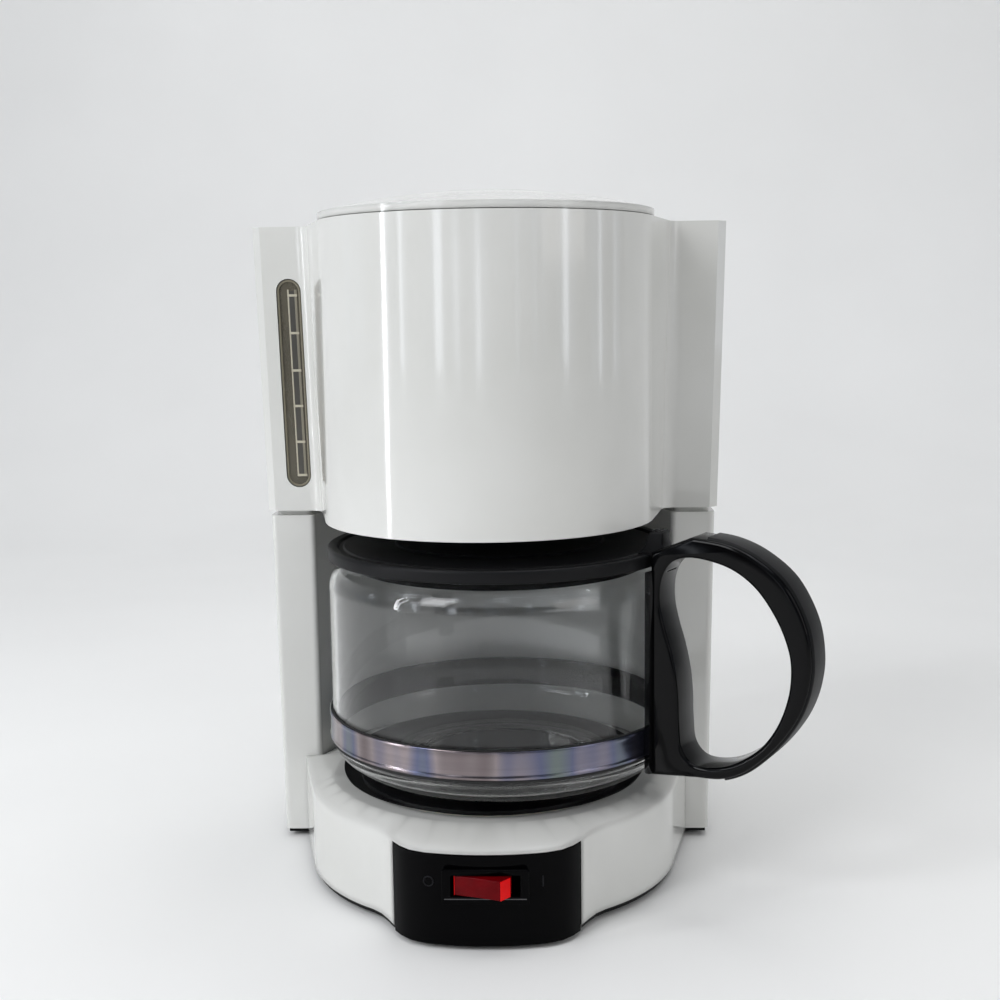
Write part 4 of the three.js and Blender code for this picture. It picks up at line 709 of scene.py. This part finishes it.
def carafe_lid():
    """The moulded lid, with its plug in the glass, and the lever that opens it."""
    top, radius, plug, wall = 122.8, 63.4, 54.1, 1.8
    ring_low, ring_high = top - 1.0, top + 0.5
    profile = round_corners([
        (0, 124.9), (4.6, 124.9, 0.6), (5.4, top + 1.2, 0.5), (10, top + 0.6), (34, top + 0.1),
        (35.6, top, 0.2), (36.2, ring_high, 0.2), (38.2, ring_high, 0.2), (38.8, top - 0.2, 0.2),
        (57.2, top - 0.35, 0.2), (57.8, ring_low, 0.2), (59.2, ring_low, 0.2),
        (59.8, top - 0.1, 0.3), (radius, top, 1.3), (radius, 118.2, 0.5), (plug, 118.2),
        (plug, 113.2, 0.4), (plug - wall, 113.2, 0.4), (plug - wall, top - wall),
        (0, top - wall)])
    made = lathe("carafe_lid_moulded", pairs_of(profile), matte_black, "carafe_lid", glass_axis,
                 160)
    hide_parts("carafe_lid")
    upright, width = handle_plane(), 7
    lever = round_corners([(57.6, 122.3), (66.9, 122.3, 0.3), (69.2, 122.2, 1.5),
                           (68.9, 124.6, 0.8), (67.2, 126, 1), (67.4, 130.6, 0.9),
                           (65.2, 130.8, 0.9), (62.0, 130.2, 0.9), (60.6, 125.2, 2)])
    hub = round_corners([(61.6, 120.5, 0.3), (65.2, 119.9, 1.5), (68.6, 120.2, 1.8),
                         (69.1, 123.6, 1.8), (66.9, 124.4, 1), (61.6, 122.6, 0.3)])
    for name, outline, bevel in (("tab", lever, 0.6), ("link", hub, 0.4)):
        piece = slab(f"carafe_lid_{name}", [outline], width, bevel, matte_black, "carafe_lid",
                     upright)
        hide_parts("carafe_lid")
    start, pitch, across = 62.6, 1.7, 0.8
    for i in range(3):
        s = start + i * pitch
        bar = round_corners([(s, 130.4), (s + across, 130.5), (s + across, 131.0, 0.2),
                             (s, 130.9, 0.2)])
        slab(f"carafe_lid_grip_{i}", [bar], 6, 0.12, matte_black, "carafe_lid", upright)


def rocker():
    """The switch's cap on its axle, with a painted highlight on a facet at each end, tipped as in
    the photo.
    """
    axis = Vector((plate_axis.x, plate_axis.y - 75.7 * MM, switch_height * MM))
    place = Matrix.Translation(axis) @ Matrix.Rotation(math.radians(-18), 4, "Z")
    half, face_half, root_half = 9.7, 7.9, 2.6
    front, shoulder, back = -8.2, -4.0, -2
    outline = round_corners([(-half, shoulder, 0.2), (-face_half, front, 0.2), (0, -7.95),
                             (face_half, front, 0.2), (half, shoulder, 0.2), (half, back, 0.4),
                             (root_half, 2.6, 0.5), (-root_half, 2.6, 0.5), (-half, back, 0.4)],
                            2)
    made = slab("switch_rocker_cap", [outline], 6.5, 0.25, red, "rocker", place)
    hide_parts("switch_rocker")
    pin, reach = 1.3, 4.5
    profile = raised([(0, -reach), (pin, -reach), (pin, reach), (0, reach)], switch_height)
    axle = lathe("switch_rocker_axle", profile, red, "rocker", axis, 24)
    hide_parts("switch_rocker")
    # Each end facet is a thin slab in the brighter red: a painted highlight, not a lit part.
    for side, where in ((-1, "left"), (1, "right")):
        lens = [(side * x, y) for x, y in ((7.85, -8.15), (8.0, -8.3), (9.85, -4.0), (9.6, -3.9))]
        lens = round_corners(lens if side > 0 else lens[::-1])
        end = slab(f"switch_rocker_end_{where}", [lens], 6.4, 0.06, red_painted_highlight, "rocker", place)
        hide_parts("switch_rocker")


def box_outline(left, right, low, high, radius):
    return round_corners([(left, low, radius), (right, low, radius), (right, high, radius),
                          (left, high, radius)])


def bezel():
    """The frame round the rocker, cut to the panel's opening, and below it a thin pale strip: a
    painted highlight along the frame's lower edge.
    """
    outer = box_outline(-14.2, 14.2, -6.2, 5.4, 0.8)
    inner = box_outline(-11.9, 11.9, -4.0, 4.0, 0.4)
    place = Matrix.Translation((plate_axis.x, plate_axis.y - 81.1 * MM, switch_height * MM)) \
        @ Matrix.Rotation(QUARTER, 4, "X")
    slab("switch_bezel", [outer, inner], 1.4, 0.25, panel_black, "machine", place)
    # A thin pale strip under the frame: painted highlight where its lower edge catches the light.
    lip = box_outline(-13.4, 13.4, -4.5, -4.15, 0.15)
    slab("switch_bezel_edge_highlight", [lip], 1.7, 0.1, bezel_highlight, "machine", place)


def on_panel(name, loops, degrees):
    """A raised mark on the panel's round face, this far round from its middle."""
    angle, face, height, thick = math.radians(degrees), 80.5 * MM, 23.2 * MM, 0.5
    spot = Vector((plate_axis.x + face * math.sin(angle),
                   plate_axis.y - face * math.cos(angle), height))
    place = Matrix.Translation(spot) @ Matrix.Rotation(angle, 4, "Z") \
        @ Matrix.Rotation(QUARTER, 4, "X")
    slab(name, loops, thick, thick / 5, mark_black, "machine", place)


def circle(radius, steps=40):
    return [polar(radius, 2 * math.pi * k / steps, 0) for k in range(steps)]


def panel_marks():
    aside, radius, stroke = 13.4, 1.8, 0.4
    on_panel("mark_off", [circle(radius), circle(radius - stroke)], -aside)
    on_panel("mark_on", [box_outline(-0.25, 0.25, -radius, radius, 0.2)], aside)


def leaning(x, z):
    """Across, for a point of the left wing, which leans outwards as it rises."""
    lean_degrees, wing_low, wing_high = 1.4, 131.7, 239.0
    return x - math.tan(math.radians(lean_degrees)) * (z - (wing_low + wing_high) / 2)


def stadium(half, low, high, across, steps=14):
    """An upright slot outline in the leaning wing, with round ends."""
    made = []
    for start, middle in ((math.pi, low + half), (0, high - half)):
        for k in range(steps + 1):
            angle = start + math.pi * k / steps
            x, z = across + half * math.cos(angle), middle + half * math.sin(angle)
            made.append(Vector((leaning(x, z), z)))
    return made


def window():
    """The water level window; front and back are places behind the warming plate's axis."""
    low, high, mid, half = 140.8, 219.8, -74.7, 4.4
    gap, lap, rim_width = 0.3, 1.5, 0.75

    def placed(front, back):
        middle = Matrix.Translation((plate_axis.x, plate_axis.y + (front + back) / 2 * MM, 0))
        return middle @ Matrix.Rotation(QUARTER, 4, "X")

    def bar(name, left, right, bottom, top, front, back, material):
        corners = [(left, bottom), (right, bottom), (right, top), (left, top)]
        loop = [Vector((leaning(x, z), z)) for x, z in corners]
        slab(name, [loop], back - front, 0.12, material, "machine", placed(front, back))

    opening = stadium(half, low + gap, high - gap, mid)
    under = stadium(half + 1.8, low - lap, high + lap, mid)
    inside = stadium(half - rim_width, low + gap + rim_width, high - gap - rim_width, mid)
    for piece in (
            slab("window_lens", [opening], 2.4, 0.3, smoke, "machine", placed(19.0, 21.4)),
            slab("window_flange", [under], 1.3, 0.2, smoke, "machine", placed(20.8, 22.1)),
            slab("window_rim", [opening, inside], 1.6, 0.25, mark_dark, "machine",
                 placed(18.4, 20.0))):
        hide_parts("water_level_window")
    left, right = mid - 0.6, mid + 3.0
    bottom, top, tick_half = low + 4.4, high - 4, 0.45
    # The dark stripe between the rails is a painted reflection inside the lens.
    bar("window_painted_reflection", left + 0.6, right - 1.0, low + 5, high - 4.6, 18.85, 19.2, stripe)
    bar("window_rail_left", left, left + 0.55, bottom, top, 18.75, 19.3, mark)
    # The right rail takes the dimmer copy of the rail colour: painted shade.
    bar("window_rail_right_shaded", right - 1.0, right, bottom, top, 18.8, 19.25, rail_painted_shade)
    for i, z in enumerate((213.6, 199.5, 185.4, 171.9, 158.2, 145.4)):
        bar(f"window_tick_{i}", left, right + 0.1, z - tick_half, z + tick_half, 18.6, 19.3, mark)


def plate_shade_sheet():
    """A thin dark sheet in the plate's coating on the dish floor round the warming plate, reaching
    further back than the plate itself: painted shade round the plate and behind the carafe.
    """
    steps, rows, inner, outer, back, thick = 144, 9, 47, 57.5, 9, 0.3
    floor, flat_radius, slope_width, slope_rise = 34.44, 54, 6.5, 1.6
    points, faces = [], []

    def index(k, j, side):
        return (k % steps * rows + j) * 2 + side

    for k in range(steps):
        angle = 2 * math.pi * k / steps
        edge = back * math.sin(angle) + math.sqrt(outer ** 2 - (back * math.cos(angle)) ** 2)
        for j in range(rows):
            radius = inner + (edge - inner) * j / (rows - 1)
            dish = floor + slope_rise * min(max((radius - flat_radius) / slope_width, 0), 1)
            points += [polar(radius, angle, dish), polar(radius, angle, dish + thick)]
        for j in range(rows - 1):
            faces += [(index(k, j, 1), index(k, j + 1, 1), index(k + 1, j + 1, 1),
                       index(k + 1, j, 1)),
                      (index(k, j, 0), index(k + 1, j, 0), index(k + 1, j + 1, 0),
                       index(k, j + 1, 0))]
        for j in (0, rows - 1):
            wall = (index(k, j, 0), index(k + 1, j, 0), index(k + 1, j, 1), index(k, j, 1))
            faces.append(wall if j else wall[::-1])
    piece_of("plate_shade_sheet", points, faces, plate_coating, "machine", on_axis(plate_axis))


def basket_ribs():
    """Upright ribs that thin out as they rise, a little sunk into the basket's inner wall."""
    count, low, high, floor, rim = 24, 152.0, 226.0, 149.3, 233.3
    floor_radius, flare, sunk, wide, narrow = 36.2, 12, 0.3, 0.8, 0.45
    points, faces = [], []
    for i in range(count):
        angle = 2 * math.pi * i / count
        side = Vector((-math.sin(angle), math.cos(angle), 0))
        a = len(points)
        for z, rise in ((low, 1.4), (high, 0.2)):
            wall = floor_radius + (z - floor) / (rim - floor) * flare - 0.02
            for across, inwards in ((-wide, -sunk), (-narrow, rise), (narrow, rise),
                                    (wide, -sunk)):
                points.append(polar(wall - inwards, angle, z) + side * across)
        faces += [(a, a + 1, a + 5, a + 4), (a + 1, a + 2, a + 6, a + 5),
                  (a + 2, a + 3, a + 7, a + 6), (a + 3, a, a + 4, a + 7),
                  (a + 3, a + 2, a + 1, a), (a + 4, a + 5, a + 6, a + 7)]
    outward(piece_of("basket_ribs", points, faces, black, "basket", on_axis(plate_axis)))


turned_glass()
steel_band()
handle()
carafe_lid()
rocker()
bezel()
panel_marks()
window()
basket_ribs()
plate_shade_sheet()


# Floor, backdrop and light

def make_stage():
    """A pale floor that bends up into a backdrop; its sizes are in metres."""
    floor_look = Look("floor")
    floor_look.tint(floor_look.noise(3, 3), colour(236, 236, 235), colour(242, 242, 241))
    floor_look.polish(floor_look.noise(20, 3), 0.5, 0.65)
    reach, back, rise, bend, steps = 4.0, 1.2, 3.0, 0.5, 12
    profile = [(-reach, 0)]
    for i in range(steps + 1):
        angle = QUARTER * i / steps
        profile.append((back - bend + bend * math.sin(angle), bend - bend * math.cos(angle)))
    profile.append((back, rise))
    mesh = bpy.data.meshes.new("floor")
    points = [(side * reach, y, z) for side in (-1, 1) for y, z in profile]
    count = len(profile)
    faces = [(i, count + i, count + i + 1, i + 1) for i in range(count - 1)]
    mesh.from_pydata(points, [], faces)
    mesh.polygons.foreach_set("use_smooth", [True] * len(faces))
    mesh.materials.append(floor_look.material)
    floor = bpy.data.objects.new("floor", mesh)
    bpy.context.scene.collection.objects.link(floor)


def make_world():
    """Even light. Gloss and glass mirror a pale room behind the object, a dim one in front."""
    world = bpy.data.worlds.new("studio")
    bpy.context.scene.world = world
    world.use_nodes = True
    tree = world.node_tree

    def node(kind, **settings):
        return add_node(tree, kind, **settings)

    light = tree.nodes["Background"]
    light.inputs["Color"].default_value = (0.93, 0.96, 1.0, 1)
    light.inputs["Strength"].default_value = 0.4
    seen, white_back = node("ShaderNodeBackground"), node("ShaderNodeBackground")
    white_back.inputs["Color"].default_value = (1, 1, 1, 1)
    white_back.inputs["Strength"].default_value = 0.9
    where = node("ShaderNodeTexCoord")
    parts = node("ShaderNodeSeparateXYZ")
    behind = node("ShaderNodeMapRange")
    behind.inputs["From Min"].default_value = 0.6
    behind.inputs["From Max"].default_value = 0.95
    bands, stripes = node("ShaderNodeMapping"), node("ShaderNodeTexNoise")
    bands.inputs["Scale"].default_value = (1, 1, 0.06)
    stripes.inputs["Scale"].default_value = 6.5
    stripes.inputs["Detail"].default_value = 1.5
    room = node("ShaderNodeValToRGB")
    set_stops(room, ((0.36, (0.02, 0.02, 0.02, 1)), (0.46, (0.1, 0.09, 0.085, 1)),
                     (0.54, (0.2, 0.24, 0.3, 1)), (0.6, (0.55, 0.6, 0.7, 1)),
                     (0.68, (3.4, 3.6, 3.9, 1))))
    blend = node("ShaderNodeMix", data_type="RGBA")
    blend.inputs["B"].default_value = (0.6, 0.6, 0.6, 1)
    path = node("ShaderNodeLightPath")
    either = node("ShaderNodeMath", operation="ADD", use_clamp=True)
    shown, all_rays = node("ShaderNodeMixShader"), node("ShaderNodeMixShader")
    for source, target in (
            (where.outputs["Generated"], parts.inputs["Vector"]),
            (parts.outputs["Y"], behind.inputs["Value"]),
            (where.outputs["Generated"], bands.inputs["Vector"]),
            (bands.outputs["Vector"], stripes.inputs["Vector"]),
            (stripes.outputs["Fac"], room.inputs["Fac"]),
            (behind.outputs["Result"], blend.inputs["Factor"]),
            (room.outputs["Color"], blend.inputs["A"]),
            (blend.outputs["Result"], seen.inputs["Color"]),
            (path.outputs["Is Glossy Ray"], either.inputs[0]),
            (path.outputs["Is Transmission Ray"], either.inputs[1]),
            (either.outputs["Value"], shown.inputs["Fac"]),
            (light.outputs["Background"], shown.inputs[1]),
            (seen.outputs["Background"], shown.inputs[2]),
            (path.outputs["Is Camera Ray"], all_rays.inputs["Fac"]),
            (shown.outputs["Shader"], all_rays.inputs[1]),
            (white_back.outputs["Background"], all_rays.inputs[2]),
            (all_rays.outputs["Shader"], tree.nodes["World Output"].inputs["Surface"])):
        tree.links.new(source, target)


def add_lamp(name, eye, target, size, power, tone=(1, 1, 1)):
    """A flat lamp of this size in metres and power in watts, turned to its target."""
    data = bpy.data.lights.new(name, "AREA")
    data.shape = "RECTANGLE"
    data.size, data.size_y = size
    data.energy = power
    data.color = tone
    lamp = bpy.data.objects.new(name, data)
    lamp.location = eye
    lamp.rotation_mode = "QUATERNION"
    lamp.rotation_quaternion = (Vector(target) - Vector(eye)).to_track_quat("-Z", "Y")
    bpy.context.scene.collection.objects.link(lamp)


def make_lamps():
    middle = (0, 0, 0.12)
    add_lamp("key", (-0.95, -0.95, 1.05), middle, (0.5, 0.9), 9.6, (0.97, 0.98, 1.0))
    add_lamp("strip", (-0.8, -0.34, 0.3), (-0.05, 0, 0.16), (0.03, 0.7), 1.7,
             (0.95, 0.97, 1.0))
    add_lamp("top", (0.1, 0.1, 1.5), middle, (1.2, 1.2), 8.2)
    add_lamp("fill", (1.2, -0.9, 0.7), middle, (0.9, 0.9), 3.0, (1.0, 0.96, 0.92))


make_stage()
make_world()
make_lamps()
bpy.context.scene.view_settings.view_transform = "Standard"

bpy.context.view_layer.update()
